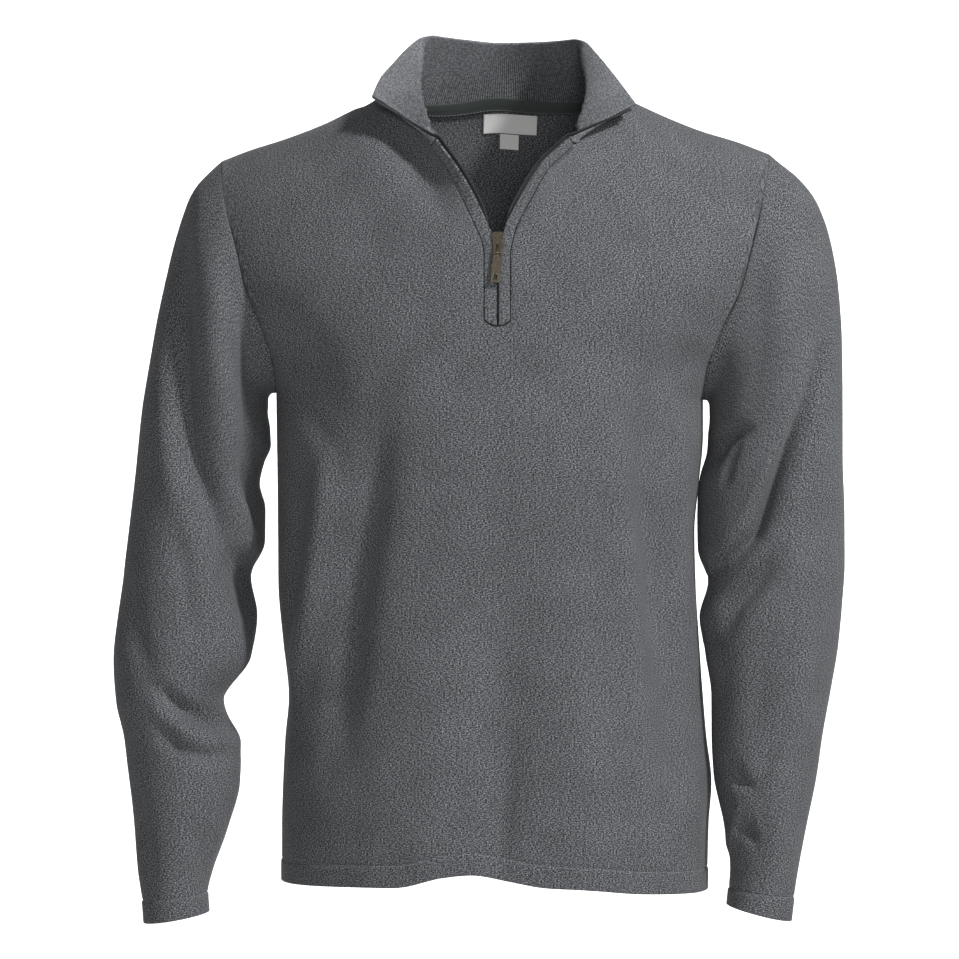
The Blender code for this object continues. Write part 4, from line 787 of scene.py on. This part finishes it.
# %% Heather material
def heather(name, dark, middle, light, cool, fleck=(0.0015, 0.00072), relief=0.35, with_rib_shade=False):
    """Flecks: noise at fleck size picks between dark, middle and light; slower noise tints it cool."""
    made, tree, shader = new_material(name)
    metres = add(tree, "ShaderNodeUVMap", uv_map="cloth")
    rows = add(tree, "ShaderNodeMapping", {
        "Vector": metres.outputs["UV"], "Scale": (1 / fleck[0], 1 / fleck[1], 1.0)}, vector_type="POINT")
    fine = add(tree, "ShaderNodeTexNoise", {
        "Vector": rows.outputs["Vector"], "Scale": 1.0, "Detail": 1.0, "Roughness": 0.6},
        noise_dimensions="2D")
    shifted = add(tree, "ShaderNodeMapping", {
        "Vector": metres.outputs["UV"], "Location": (31.7, 12.3, 0.0),
        "Scale": (0.45 / fleck[0], 0.5 / fleck[1], 1.0)}, vector_type="POINT")
    tint = add(tree, "ShaderNodeTexNoise", {
        "Vector": shifted.outputs["Vector"], "Scale": 1.0, "Detail": 1.0}, noise_dimensions="2D")
    cloudy = add(tree, "ShaderNodeTexNoise", {
        "Vector": metres.outputs["UV"], "Scale": 28.0, "Detail": 2.0}, noise_dimensions="2D")
    ramp = add(tree, "ShaderNodeValToRGB", {"Fac": fine.outputs["Fac"]})
    ramp.color_ramp.elements[0].position, ramp.color_ramp.elements[0].color = 0.33, linear(dark)
    ramp.color_ramp.elements[1].position, ramp.color_ramp.elements[1].color = 0.67, linear(light)
    between = ramp.color_ramp.elements.new(0.50)
    between.color = linear(middle)
    share = add(tree, "ShaderNodeMapRange", {
        "Value": tint.outputs["Fac"], "From Min": 0.42, "From Max": 0.66, "To Min": 0.0, "To Max": 0.40})
    mixed = add(tree, "ShaderNodeMix", {
        0: share.outputs["Result"], 6: ramp.outputs["Color"], 7: linear(cool)},
        data_type="RGBA", blend_type="OVERLAY")
    soft = add(tree, "ShaderNodeMapRange", {
        "Value": cloudy.outputs["Fac"], "From Min": 0.3, "From Max": 0.7, "To Min": 0.93, "To Max": 1.07})
    final = add(tree, "ShaderNodeHueSaturation", {"Color": mixed.outputs[2], "Value": soft.outputs["Result"]})
    colour = final.outputs["Color"]
    # Painted shade and highlight: the point layer darkens the ribs' grooves to 0.22 and lightens their crests
    # to 1.25 times the colour
    if with_rib_shade:
        painted_rib_shade = add(tree, "ShaderNodeAttribute", attribute_name="painted_rib_shade")
        shade = add(tree, "ShaderNodeMapRange", {
            "Value": painted_rib_shade.outputs["Fac"], "To Min": 0.22, "To Max": 1.25})
        colour = add(tree, "ShaderNodeHueSaturation", {"Color": colour, "Value": shade.outputs["Result"]})
        colour = colour.outputs["Color"]
    tree.links.new(colour, shader.inputs["Base Color"])
    emboss(tree, shader, fine.outputs["Fac"], relief, 0.0004)
    shader.inputs["Roughness"].default_value = 0.95
    shader.inputs["Specular IOR Level"].default_value = 0.25
    shader.inputs["Sheen Weight"].default_value = 0.06
    shader.inputs["Sheen Roughness"].default_value = 0.5
    return made


jersey = heather("heather charcoal jersey knit", "#1b1c1e", "#4a4b4e", "#818386", "#6f767c")

# %% Body and sleeves
def hem_thickness(up):
    """Thicker by the turned edge below the stitch line, with a narrow groove at the line itself."""
    turned = HEM_EXTRA * soft_step((HEM_DEPTH - up) / 0.0016)
    return KNIT / 2 + turned - 0.0007 * np.exp(-((up - HEM_DEPTH) / 0.0011) ** 2)


def sleeve_surface(side, loop, angles, stations):
    """Rings below the armhole's loop: middle plus half width times cosine, and depth times sine."""
    table = SLEEVE[side]
    outer = np.stack([table[:, OUT_X], table[:, MID_Y], table[:, OUT_Z]], axis=-1)
    inner = np.stack([table[:, IN_X], table[:, MID_Y], table[:, IN_Z]], axis=-1)
    turn = -1 if side == "left" else 1
    rings = (outer + inner)[:, None] / 2 + (inner - outer)[:, None] / 2 * np.cos(angles)[None, :, None]
    rings[..., 1] += turn * table[:, HALF_DEPTH][:, None] * np.sin(angles)[None, :]
    rings = np.concatenate([loop[None], rings])
    station = distances(rings)
    grid = smooth(station, rings, stations * station[-1])
    normal = normals(grid, wrap=True)
    way = np.linspace(0, 1, len(grid))
    ends = soft_step(way / 0.05) * soft_step((1 - way) / 0.05)
    for facing, half in ((-1, "front"), (1, "back")):
        depth = fold_depth(grid, SLEEVE_FOLDS[side + " " + half])
        weight = soft_step(0.5 + facing * normal[..., 1] / 0.6)
        grid = grid - normal * (depth * weight * ends[:, None])[..., None]
    return grid


def set_in_sleeve(side):
    """Sleeve from the armhole loop to the cuff; the loop shares its normals with front and back."""
    halves = [(front, front_normal), (back, back_normal)]
    (first, first_normal), (second, second_normal) = halves if side == "left" else halves[::-1]
    under, top = UNDER_ROW, len(front) - 1
    up, down = (np.s_[under:], 0), (np.s_[top - 1:under:-1], -1)
    loop = np.concatenate([first[up], second[down]])
    body_normal = np.concatenate([first_normal[up], second_normal[down]])
    rise = np.concatenate([[-90.0], arch_angles(np.array([90.0]))[:, 0]])
    angles = np.radians(np.concatenate([rise + 90, 270 - rise[-2:0:-1]]))
    cuff = 1 - HEM_ROWS[::-1] / SLEEVE_LENGTH
    stations = np.concatenate([[0, 0.003, 0.007], np.linspace(0.012, cuff[0] - 0.004, SLEEVE_ROWS), cuff])
    grid = sleeve_surface(side, loop, angles, stations)
    normal = normals(grid, wrap=True)
    shared = mitre(unit(body_normal), normal[0])
    normal[0] = shared
    first_normal[up], second_normal[down] = shared[:top - under + 1], shared[top - under + 1:]
    second_normal[under, -1], second_normal[top, -1] = shared[0], shared[top - under]
    up_from_edge = (1 - stations) * SLEEVE_LENGTH
    pull_in(grid, 0, 1, 2 * SEAM_GAP)
    piece = wall("sleeve_" + side + "_knit", grid, hem_thickness(up_from_edge)[:, None], KNIT / 2, jersey,
                 normal, wrap=True)
    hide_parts("sleeve_" + side)
    return piece, grid, normal


sleeves = {side: set_in_sleeve(side) for side in ("left", "right")}

# %% [markdown]
# ## Placket strips
#
# Two narrow strips of the same knit hide the zip's tapes. Each is sewn to an edge of the slot in the
# front, and its other edge is folded, so it stands a little proud. Above the slider the strips part
# and turn forwards, because the open collar drags them outwards. A strip is carried square off the
# seam line and turned about it by an angle that grows smoothly with height.

# %% Strips
def strip_surface(side):
    """Seam point plus share of the width times a direction that turns from the cloth towards its normal."""
    col = LEFT_COL if side == "left" else RIGHT_COL
    seam, normal = front[FOOT_ROW:, col], front_normal[FOOT_ROW:, col]
    along = unit(np.gradient(seam, axis=0))
    inward = unit(np.cross(along, normal)) * (1 if side == "left" else -1)
    turn = np.radians(STRIP_TURN) * soft_step((seam[:, 2] - TURN_FROM) / TURN_OVER)[:, None]
    inward = inward * np.cos(turn) + normal * np.sin(turn)
    share = np.linspace(0, 1, 9)
    closed = 0.0004 * soft_step((-0.145 - seam[:, 2]) / 0.010)[:, None]
    width = share * (PLACKET_WIDTH - 0.001 * (side == "right") + closed)
    grid = seam[:, None] + inward[:, None] * width[..., None]
    dip = SLOT_ROUND * (1 - (1 - share * 0.9) ** 2)
    grid[..., 2] -= soft_step(1 - (seam[:, 2] - seam[0, 2]) / 0.010)[:, None] * dip[None]
    return grid if side == "left" else grid[:, ::-1]


strips = {side: strip_surface(side) for side in ("left", "right")}
strip_normals = {side: normals(grid) for side, grid in strips.items()}
for side, col, seam_side in (("left", LEFT_COL, 0), ("right", RIGHT_COL, -1)):
    shared = mitre(front_normal[FOOT_ROW:, col], strip_normals[side][:, seam_side])
    front_normal[FOOT_ROW:, col] = strip_normals[side][:, seam_side] = shared

PROUD = np.array([0.0, 0.0002, 0.0004, 0.0005, 0.0005, 0.0005, 0.0005, 0.0004, 0.0002])
for side in ("left", "right"):
    strip = strips[side].copy()
    seam_side, next_in = (0, 1) if side == "left" else (-1, -2)
    pull_in(strip, np.s_[:, seam_side], np.s_[:, next_in], SEAM_GAP)
    pull_in(strip, 0, 1, 0.0008)
    pull_in(strip, -1, -2)
    bulge = PROUD if side == "left" else PROUD[::-1]
    piece = wall("placket_" + side + "_knit", strip, KNIT / 2 + bulge[None], KNIT / 2, jersey,
                 strip_normals[side], rim=0.0005)
    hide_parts("placket_" + side)

# %% Front and back walls
keep = np.ones((len(front) - 1, front.shape[1] - 1), bool)
keep[FOOT_ROW:, LEFT_COL:RIGHT_COL] = False
body_grids = {"front": front.copy(), "back": back.copy()}
for grid in body_grids.values():
    pull_in(grid, np.s_[:, 0], np.s_[:, 1])
    pull_in(grid, np.s_[:, -1], np.s_[:, -2])
    pull_in(grid, np.s_[UNDER_ROW + 1:, 0], np.s_[UNDER_ROW + 1:, 1])
    pull_in(grid, np.s_[UNDER_ROW + 1:, -1], np.s_[UNDER_ROW + 1:, -2])
    pull_in(grid, np.s_[-1], np.s_[-2])
cut = body_grids["front"]
pull_in(cut, np.s_[FOOT_ROW:, LEFT_COL], np.s_[FOOT_ROW:, LEFT_COL - 1], SEAM_GAP)
pull_in(cut, np.s_[FOOT_ROW:, RIGHT_COL], np.s_[FOOT_ROW:, RIGHT_COL + 1], SEAM_GAP)
slot_foot = np.s_[LEFT_COL + 1:RIGHT_COL]
pull_in(cut, (FOOT_ROW, slot_foot), (FOOT_ROW - 1, slot_foot))
up_from_hem = np.linalg.norm(front - front[:1], axis=-1)
up_from_hem[len(HEM_ROWS):] = 1.0
for name, normal, mask, flat, area in (("front", front_normal, keep, (0.56, 0.72), 0.33),
                                       ("back", back_normal, None, (0.54, 0.72), 0.34)):
    piece = wall(name + "_knit", body_grids[name], hem_thickness(up_from_hem), KNIT / 2, jersey, normal, mask)
    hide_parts(name)

# %% [markdown]
# ## Collar
#
# The collar is one piece folded along its top edge, so it has two layers with the zip's tape between
# them at its front edges. The inner layer is knitted in a fine 1 by 1 rib. The cloth's path is carried
# from the neckline up the outside, round the fold and down the inside, so one wall makes both
# layers. The ribs are raised in the wall's points and flatten towards the fold. Real ones are 1.7 mm
# apart, and these are drawn 2.2 mm apart, because finer ones would blur at this distance.
# The colour has painted shade in the ribs' grooves, weaker towards the fold, and a painted highlight on their
# crests and on the outer layer.

# %% Collar surface
COLLAR_COLS, PLY, RIB_PITCH = 1240, 0.0010, 0.0022
RISE_ROWS = 13
centre_of_neck = np.array([(NECK_LEFT + NECK_RIGHT) / 2, 0.0, 0.0])


def neckline():
    """Last two rows of points from the right zip edge round the back to the left zip edge."""
    parts = [(strips["right"], np.s_[:]), (front, np.s_[RIGHT_COL + 1:RIGHT_COL + NECK_COLS + 1]),
             (back, np.s_[SIDE_COLS + 1:back.shape[1] - 1 - SIDE_COLS]), (front, np.s_[SIDE_COLS:LEFT_COL]),
             (strips["left"], np.s_[:])]
    return np.concatenate([grid[-2:, part] for grid, part in parts], axis=1)


def resample(grid, xs, at):
    """Read a grid at other places along its columns."""
    return np.swapaxes(smooth(xs, np.swapaxes(grid, 0, 1), at), 0, 1)


def collar_surface(seam, leaving, way):
    """Straight from the neckline to the folded edge, bowed inwards, its foot lifted clear of the seam.

    Each front end lies open as a flap: it is pushed inwards by a ramp up to a slanting crease, and
    falls back behind the crease as a bell.
    """
    top = np.stack([through(COLLAR_TOP, column, way) for column in (TOP_X, TOP_Y, TOP_Z)], axis=-1)
    drawn = through(COLLAR_TOP, DRAWN_IN, way)
    inward = centre_of_neck - seam
    inward[:, 2] = 0
    rise = np.linspace(0, 1, RISE_ROWS)[:, None, None]
    ply = seam + (top - seam) * rise + unit(inward) * drawn[:, None] * 4 * rise * (1 - rise)
    for from_edge, push, foot, over in ((way, 0.018, 0.02, 0.23), (1 - way, -0.013, 0.03, 0.24)):
        crease = foot + over * rise[..., 0]
        ramp = np.clip(from_edge / crease, 0, 1) ** 0.8
        behind = np.exp(-(np.maximum(from_edge - crease, 0) / 0.040) ** 2)
        ply[..., 0] += push * ramp * behind * (4 * rise[..., 0] * (1 - rise[..., 0])) ** 0.7
    across = unit(calm(normals(ply), 6))[0]
    along = unit(np.gradient(seam, axis=0))
    rising = unit(ply[3] - ply[0])
    up, ahead = square_to(rising, along), square_to(leaving, along)
    agree = np.clip(np.sum(up * ahead, axis=1), -0.8, 1)
    turn = np.sqrt(1 - agree ** 2)
    onwards = turn * KNIT / 2 + 2 * SEAM_GAP
    over = (KNIT / 2 + 2 * SEAM_GAP - agree * COLLAR / 2) / turn
    hanging = COLLAR / 2 * np.abs(np.sum(across * up, axis=1))
    step = hanging + np.where(agree > 0, onwards, np.maximum(onwards, over))
    return ply + up * step[:, None] * (1 - rise) ** 3


below, seam = neckline()
run = distances(seam)
even = np.linspace(0, run[-1], 97)
seam_even = smooth(run, seam, even)
leaving_even = unit(smooth(run, unit(seam - below), even))
ply = collar_surface(seam_even, leaving_even, 1 - even / run[-1])
ply_normal = unit(calm(normals(ply), 8))
print("neckline length:", round(float(run[-1]), 3), "m")

# %% Folded collar
fine = np.linspace(0, run[-1], COLLAR_COLS)
ply_fine, normal_fine = resample(ply, even, fine), unit(resample(ply_normal, even, fine))
off = COLLAR / 2 - PLY / 2
top, up = ply_fine[-1], unit(ply_fine[-1] - ply_fine[-2])
turns = np.linspace(0, np.pi, 7)[1:-1][:, None, None]
folded = np.concatenate([
    ply_fine + normal_fine * off,
    top[None] + normal_fine[-1][None] * off * np.cos(turns) + up[None] * off * np.sin(turns),
    ply_fine[::-1] - normal_fine[::-1] * off])
folded_normal = np.concatenate([
    normal_fine, normal_fine[-1][None] * np.cos(turns) + up[None] * np.sin(turns), -normal_fine[::-1]])
share_up = np.concatenate([np.linspace(0, 1, RISE_ROWS), np.ones(5), np.linspace(1, 0, RISE_ROWS)])
on_inside = np.concatenate([np.zeros(RISE_ROWS), np.zeros(5), np.ones(RISE_ROWS)])
height_of_rib = 0.00065 * on_inside * (1 - 0.75 * share_up ** 1.3)
ridge = 1 - np.abs(np.sin(np.pi * fine / RIB_PITCH)) ** 1.3
outer = PLY / 2 + height_of_rib[:, None] * ridge[None, :] - 0.0002 * on_inside[:, None]
# Painted rib shade: 0 in the inner grooves near the neckline, 1 on the crests, at the fold and on the whole
# outer layer
painted_rib_shade = 1 - (on_inside * (1 - 0.85 * share_up ** 1.1))[:, None] * (1 - ridge[None, :])
rib_knit_and_shade = heather("heather rib knit with painted shade", "#4c4d50", "#606164", "#747679", "#6f767c",
                   fleck=(0.0022, 0.0014), with_rib_shade=True)
collar_map = np.stack(np.broadcast_arrays(fine[None, :], distances(folded)[:, None]), axis=-1)
collar = wall("collar_rib", folded, outer, PLY / 2, rib_knit_and_shade, folded_normal, rim=0.0003,
              uv=collar_map, painted_rib_shade=painted_rib_shade)
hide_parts("collar")

# %% [markdown]
# ## Zip
#
# The zip is a nylon coil on woven tapes. Below the slider both coils mesh into one narrow chain. Above
# it each tape runs up its side of the opening, half hidden behind the strip, and then between the
# collar's two layers to the tip. Each turn of the coil is a small rounded bar across the tape's
# edge, one faceted form placed many times by arrays.

# %% Zip materials
def woven(name, hex_colour, pitch, roughness, strength=0.5):
    """A plain weave: the product of two waves at the thread pitch, on the cloth's own map."""
    made, tree, shader = new_material(name)
    metres = add(tree, "ShaderNodeUVMap", uv_map="cloth")
    waves = []
    for direction in ("X", "Y"):
        wave = add(tree, "ShaderNodeTexWave", {
            "Vector": metres.outputs["UV"], "Scale": 0.314 / pitch, "Distortion": 0.6, "Detail": 1.0},
            bands_direction=direction)
        waves.append(wave.outputs["Fac"])
    cross = add(tree, "ShaderNodeMath", {0: waves[0], 1: waves[1]}, operation="MULTIPLY")
    base = np.array(linear(hex_colour))
    tone = add(tree, "ShaderNodeValToRGB", {"Fac": cross.outputs["Value"]})
    tone.color_ramp.elements[0].color = (*(base[:3] * 0.6), 1.0)
    tone.color_ramp.elements[1].color = (*np.minimum(base[:3] * 1.35, 1.0), 1.0)
    tree.links.new(tone.outputs["Color"], shader.inputs["Base Color"])
    emboss(tree, shader, cross.outputs["Value"], strength, 0.0003)
    shader.inputs["Roughness"].default_value = roughness
    return made


def moulded(name, dark, light, roughness, metallic=0.0, scale=900.0, spread=0.2):
    """Two tones that follow a fine noise, with roughness that varies by a share of itself."""
    made, tree, shader = new_material(name)
    coords = add(tree, "ShaderNodeTexCoord")
    noise = add(tree, "ShaderNodeTexNoise", {
        "Vector": coords.outputs["Object"], "Scale": scale, "Detail": 3.0})
    tone = add(tree, "ShaderNodeValToRGB", {"Fac": noise.outputs["Fac"]})
    tone.color_ramp.elements[0].position, tone.color_ramp.elements[0].color = 0.35, linear(dark)
    tone.color_ramp.elements[1].position, tone.color_ramp.elements[1].color = 0.68, linear(light)
    tree.links.new(tone.outputs["Color"], shader.inputs["Base Color"])
    rough = add(tree, "ShaderNodeMapRange", {
        "Value": noise.outputs["Fac"],
        "To Min": roughness * (1 - spread), "To Max": roughness * (1 + spread)})
    tree.links.new(rough.outputs["Result"], shader.inputs["Roughness"])
    emboss(tree, shader, noise.outputs["Fac"], 0.06, 0.0002)
    shader.inputs["Metallic"].default_value = metallic
    return made


tape_weave = woven("polyester zip tape", "#2e3034", 0.0007, 0.8)
coil_nylon = moulded("nylon zip coil", "#1d1e20", "#3a3b3e", 0.38)
antique = moulded("antiqued brass plating", "#2a261f", "#5e574a", 0.24, metallic=1.0, scale=1400.0)
twill = woven("cotton twill tape", "#414846", 0.0010, 0.85)
satin = woven("white satin label", "#fafaf8", 0.0006, 0.5, strength=0.25)
thread = moulded("polyester sewing thread", "#5d6064", "#85888c", 0.75)

# %% Repeated small forms
def bars(name, centres, long_way, side_way, size, material, body="garment"):
    """Rounded bars: four rings of six points along each bar's length, the end rings drawn in."""
    length, width, height = size
    up_way = np.cross(long_way, side_way)
    rings = np.array([(-0.5, 0.35), (-0.34, 1.0), (0.34, 1.0), (0.5, 0.35)])
    around = np.arange(6) * np.pi / 3
    template = np.array([(x * length, r * np.cos(t) * width / 2, r * np.sin(t) * height / 2)
                         for x, r in rings for t in around])
    points = (centres[:, None] + long_way[:, None] * template[None, :, :1]
              + side_way[:, None] * template[None, :, 1:2] + up_way[:, None] * template[None, :, 2:])
    quads = [(6 * k + n, 6 * (k + 1) + n, 6 * (k + 1) + (n + 1) % 6, 6 * k + (n + 1) % 6)
             for k in range(3) for n in range(6)]
    quads += [(0, 1, 2, 3), (0, 3, 4, 5), (21, 20, 19, 18), (23, 22, 21, 18)]
    quads = np.array(quads)[:, ::-1]
    every = (quads[None] + 24 * np.arange(len(centres))[:, None, None]).reshape(-1, 4)
    return put_mesh(name, points.reshape(-1, 3), every, material, body=body)


def evenly(line, pitch, out):
    """Places at an even pitch along a line, its direction there, and the way out, square to that."""
    run = distances(line)
    at = np.arange(pitch / 2, run[-1], pitch)
    ahead = unit(smooth(run, line, at + pitch / 3) - smooth(run, line, at - pitch / 3))
    return smooth(run, line, at), ahead, square_to(smooth(run, out, at), ahead)


# %% Tapes and coils
COIL_PITCH, COIL_TURN = 0.0015, (0.0024, 0.0011, 0.0019)      # turns are length, width and height
CHAIN_PITCH, CHAIN_TURN = 0.0008, (0.0016, 0.0010, 0.0017)
CHAIN_TOP, CHAIN_SUNK, CHAIN_STAGGER = -0.1505, 0.0016, 0.00025


def tape_surface(side):
    """Rows across the tape: from a start to an end, measured outwards from the strip's or collar's edge."""
    strip = strips[side]
    edge, next_in = (-1, -2) if side == "left" else (0, 1)
    line = np.concatenate([strip[:, edge], ply[1:-1, edge]])
    beyond = unit(line - np.concatenate([strip[:, next_in], ply[1:-1, next_in]]))
    normal = np.concatenate([normals(strip)[:, edge], ply_normal[1:-1, edge]])
    parting = soft_step((strip[:, edge, 2] - TAPE_PARTS) / 0.020)
    count = len(ply) - 2
    start = np.concatenate([np.full(len(strip), -TAPE_HIDDEN), np.full(count, -0.0035)])
    end = np.concatenate([-TAPE_CLEAR + (TAPE_CLEAR + TAPE_SHOWN) * parting, np.full(count, TAPE_SHOWN)])
    behind = np.concatenate([np.full(len(strip), TAPE_BEHIND + TAPE / 2), np.zeros(count)])
    share = np.linspace(0, 1, 6)
    reach = start[:, None] + (end - start)[:, None] * share
    if side == "right":
        reach = reach[:, ::-1]
    grid = line[:, None] + beyond[:, None] * reach[..., None] - (normal * behind[:, None])[:, None]
    return grid, normal, beyond, parting


for side in ("left", "right"):
    grid, normal, beyond, parting = tape_surface(side)
    piece = wall("zip_tape_" + side + "_weave", grid, TAPE / 2, TAPE / 2, tape_weave,
                 np.repeat(normal[:, None], grid.shape[1], axis=1), rim=0.0003)
    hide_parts("zip_tape_" + side)
    edge = -1 if side == "left" else 0
    above = np.arange(len(grid)) >= np.argmax(parting > 0.05)
    line = grid[above, edge] - beyond[above] * 0.0003
    centres, ahead, out = evenly(line, COIL_PITCH, normal[above])
    way = np.cross(out, ahead)
    piece = bars("zip_coil_" + side, centres + out * 0.0004, way, ahead, COIL_TURN, coil_nylon)

# %% Closed chain
zip_line = (strips["left"][:, -1] + strips["right"][:, 0]) / 2
zip_out = unit(front_normal[FOOT_ROW:, LEFT_COL] + front_normal[FOOT_ROW:, RIGHT_COL])
closed = zip_line[:, 2] < CHAIN_TOP
centres, ahead, out = evenly(zip_line[closed], CHAIN_PITCH, zip_out[closed])
way = np.cross(ahead, out)
lean = np.where(np.arange(len(centres)) % 2 == 0, 1.0, -1.0)[:, None]
chain = bars("zip_chain_coil", centres - out * CHAIN_SUNK + way * lean * CHAIN_STAGGER, way, ahead,
             CHAIN_TURN, coil_nylon)
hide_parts("zip_chain")

# %% [markdown]
# ## Slider and pull tab
#
# Both are die castings with an antiqued brass plating: dark in the hollows and paler where it wears.
# Their solids are right as they stand, but a casting has no knife edges. So each is a merged copy of
# its CAD mesh with a Bevel modifier, which rounds the edges by a quarter of a millimetre and lets
# them catch the light.

# %% Metal pieces
def rounded_copy(node, name, body):
    """The CAD piece's own mesh, cleaned, with rounded edges, in its place."""
    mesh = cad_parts[node].data.copy()
    mesh.name = name
    shape = bmesh.new()
    shape.from_mesh(mesh)
    bmesh.ops.remove_doubles(shape, verts=shape.verts, dist=2e-6)
    bmesh.ops.dissolve_limit(shape, angle_limit=np.radians(4), verts=shape.verts, edges=shape.edges)
    shape.to_mesh(mesh)
    shape.free()
    mesh.materials.clear()
    mesh.materials.append(antique)
    piece = bpy.data.objects.new(name, mesh)
    scene.collection.objects.link(piece)
    bevel = piece.modifiers.new("soft edges", "BEVEL")
    bevel.width, bevel.segments, bevel.limit_method, bevel.angle_limit = 0.00025, 3, "ANGLE", np.radians(30)
    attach(piece, body)
    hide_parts(node)
    print(name, "faces before the bevel:", len(mesh.polygons))


rounded_copy("zip_slider", "slider_casting", "garment")
rounded_copy("zip_pull", "pull_tab_casting", "zip_pull")

# %% [markdown]
# ## Neck tape and label
#
# A twill tape covers the seam inside the back of the neck, held by a line of stitches along its foot.
# Its upper rows stand above the seam and hide it. Below the tape hang a plain white satin label and a
# small tab. Each lies on the inner face of the back, so its points are read from the back's own grid
# and moved inwards.

# %% Inside pieces
def on_grid(grid, row, col):
    """Points at fractional rows and columns: the mean of four neighbours, weighted by nearness."""
    row, col = np.broadcast_arrays(row, col)
    i, j = np.clip(row.astype(int), 0, len(grid) - 2), np.clip(col.astype(int), 0, grid.shape[1] - 2)
    r, c = (row - i)[..., None], (col - j)[..., None]
    low = grid[i, j] * (1 - c) + grid[i, j + 1] * c
    return low * (1 - r) + (grid[i + 1, j] * (1 - c) + grid[i + 1, j + 1] * c) * r


def on_back(row, col):
    """Points of the back at fractional rows and columns, and its unit normals there."""
    return on_grid(back, row[:, None], col[None, :]), unit(on_grid(back_normal, row[:, None], col[None, :]))


def inside_patch(left, right, top, foot, rows, cols):
    """Points and normals of the back in a box of the front view."""
    middle = back.shape[1] // 2
    row = np.interp(np.linspace(foot, top, rows), back[:, middle, 2], np.arange(len(back)))
    x = back[int(row[0]), :, 0]
    col = np.interp(-np.linspace(right, left, cols), -x, np.arange(len(x)))
    return on_back(row, col)


BELOW_SEAM = np.array([-0.0080, -0.0066, -0.0050, -0.0034, -0.0018, -0.0006])
ABOVE_SEAM = np.array([0.0022, 0.0045, 0.0066])
TAPE_STAND = (0.0028, 0.0035)       # from the back's middle surface, at the tape's foot and at the seam
rise_at = distances(back[:, back.shape[1] // 2])
row = np.interp(rise_at[-1] + BELOW_SEAM, rise_at, np.arange(len(back)))
col = np.linspace(SIDE_COLS + 1, back.shape[1] - 2 - SIDE_COLS, 110)
points, normal = on_back(row, col)
upwards = unit(points[-1:] - points[-3:-2])
points = np.concatenate([points, points[-1:] + upwards * ABOVE_SEAM[:, None, None]])
normal = np.concatenate([normal, normal[-1:].repeat(3, 0)])
stand = np.linspace(*TAPE_STAND, len(row))[:, None, None]
stand = np.concatenate([stand, stand[-1:].repeat(3, 0)])
neck_tape = wall("neck_tape_twill", points - normal * stand, TAPE / 2, TAPE / 2, twill, normal, rim=0.0003)
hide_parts("neck_tape")
for name, box, flat in (("label_main", (-0.0120, 0.0362, -0.0085, -0.0255), (0.049, 0.018)),
                        ("label_tab", (0.0030, 0.0200, -0.0262, -0.0395), (0.0175, 0.014))):
    points, normal = inside_patch(*box, 14, 30)
    depth = KNIT / 2 + SEAM_GAP + LABEL / 2 + 0.0001
    piece = wall(name + "_satin", points - normal * depth, LABEL / 2, LABEL / 2, satin, normal, rim=0.0003)
    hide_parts(name)

# %% [markdown]
# ## Stitches
#
# The turned hem and cuffs are held by a line of small stitches 19 mm above the edge, and the neck tape
# by another. Each stitch is a rounded bar of thread about 2 mm long, sunk halfway into the cloth.

# %% Stitch lines
THREAD_WIDTH, THREAD_HEIGHT, THREAD_SUNK = 0.00055, 0.0005, 0.0005
HEM_PITCH, HEM_STITCH = 0.0027, 0.0021
TAPE_PITCH, TAPE_STITCH = 0.0030, 0.0020


def stitched(name, line, out, pitch, length):
    """Rounded bars of thread end to end along a line, flat on the cloth."""
    centres, ahead, out = evenly(line, pitch, out)
    bars(name, centres, ahead, np.cross(out, ahead), (length, THREAD_WIDTH, THREAD_HEIGHT), thread)


def hem_stitched(name, line, out):
    stitched(name, line + out * (KNIT / 2 - THREAD_SUNK), out, HEM_PITCH, HEM_STITCH)


hem_row = int(np.argmin(np.abs(HEM_ROWS - HEM_DEPTH)))
for name, grid, normal in (("front", front, front_normal), ("back", back, back_normal)):
    hem_stitched("hem_stitches_" + name, grid[hem_row], normal[hem_row])
for side, (piece, grid, normal) in sleeves.items():
    ring = len(grid) - 1 - hem_row
    closed_ring = np.append(np.arange(grid.shape[1]), 0)
    hem_stitched("cuff_stitches_" + side, grid[ring][closed_ring], normal[ring][closed_ring])
tape_line, tape_out = [found[0] for found in on_back(row[1:2], col)]
stitched("neck_tape_stitches", tape_line - tape_out * 0.0034, -tape_out, TAPE_PITCH, TAPE_STITCH)
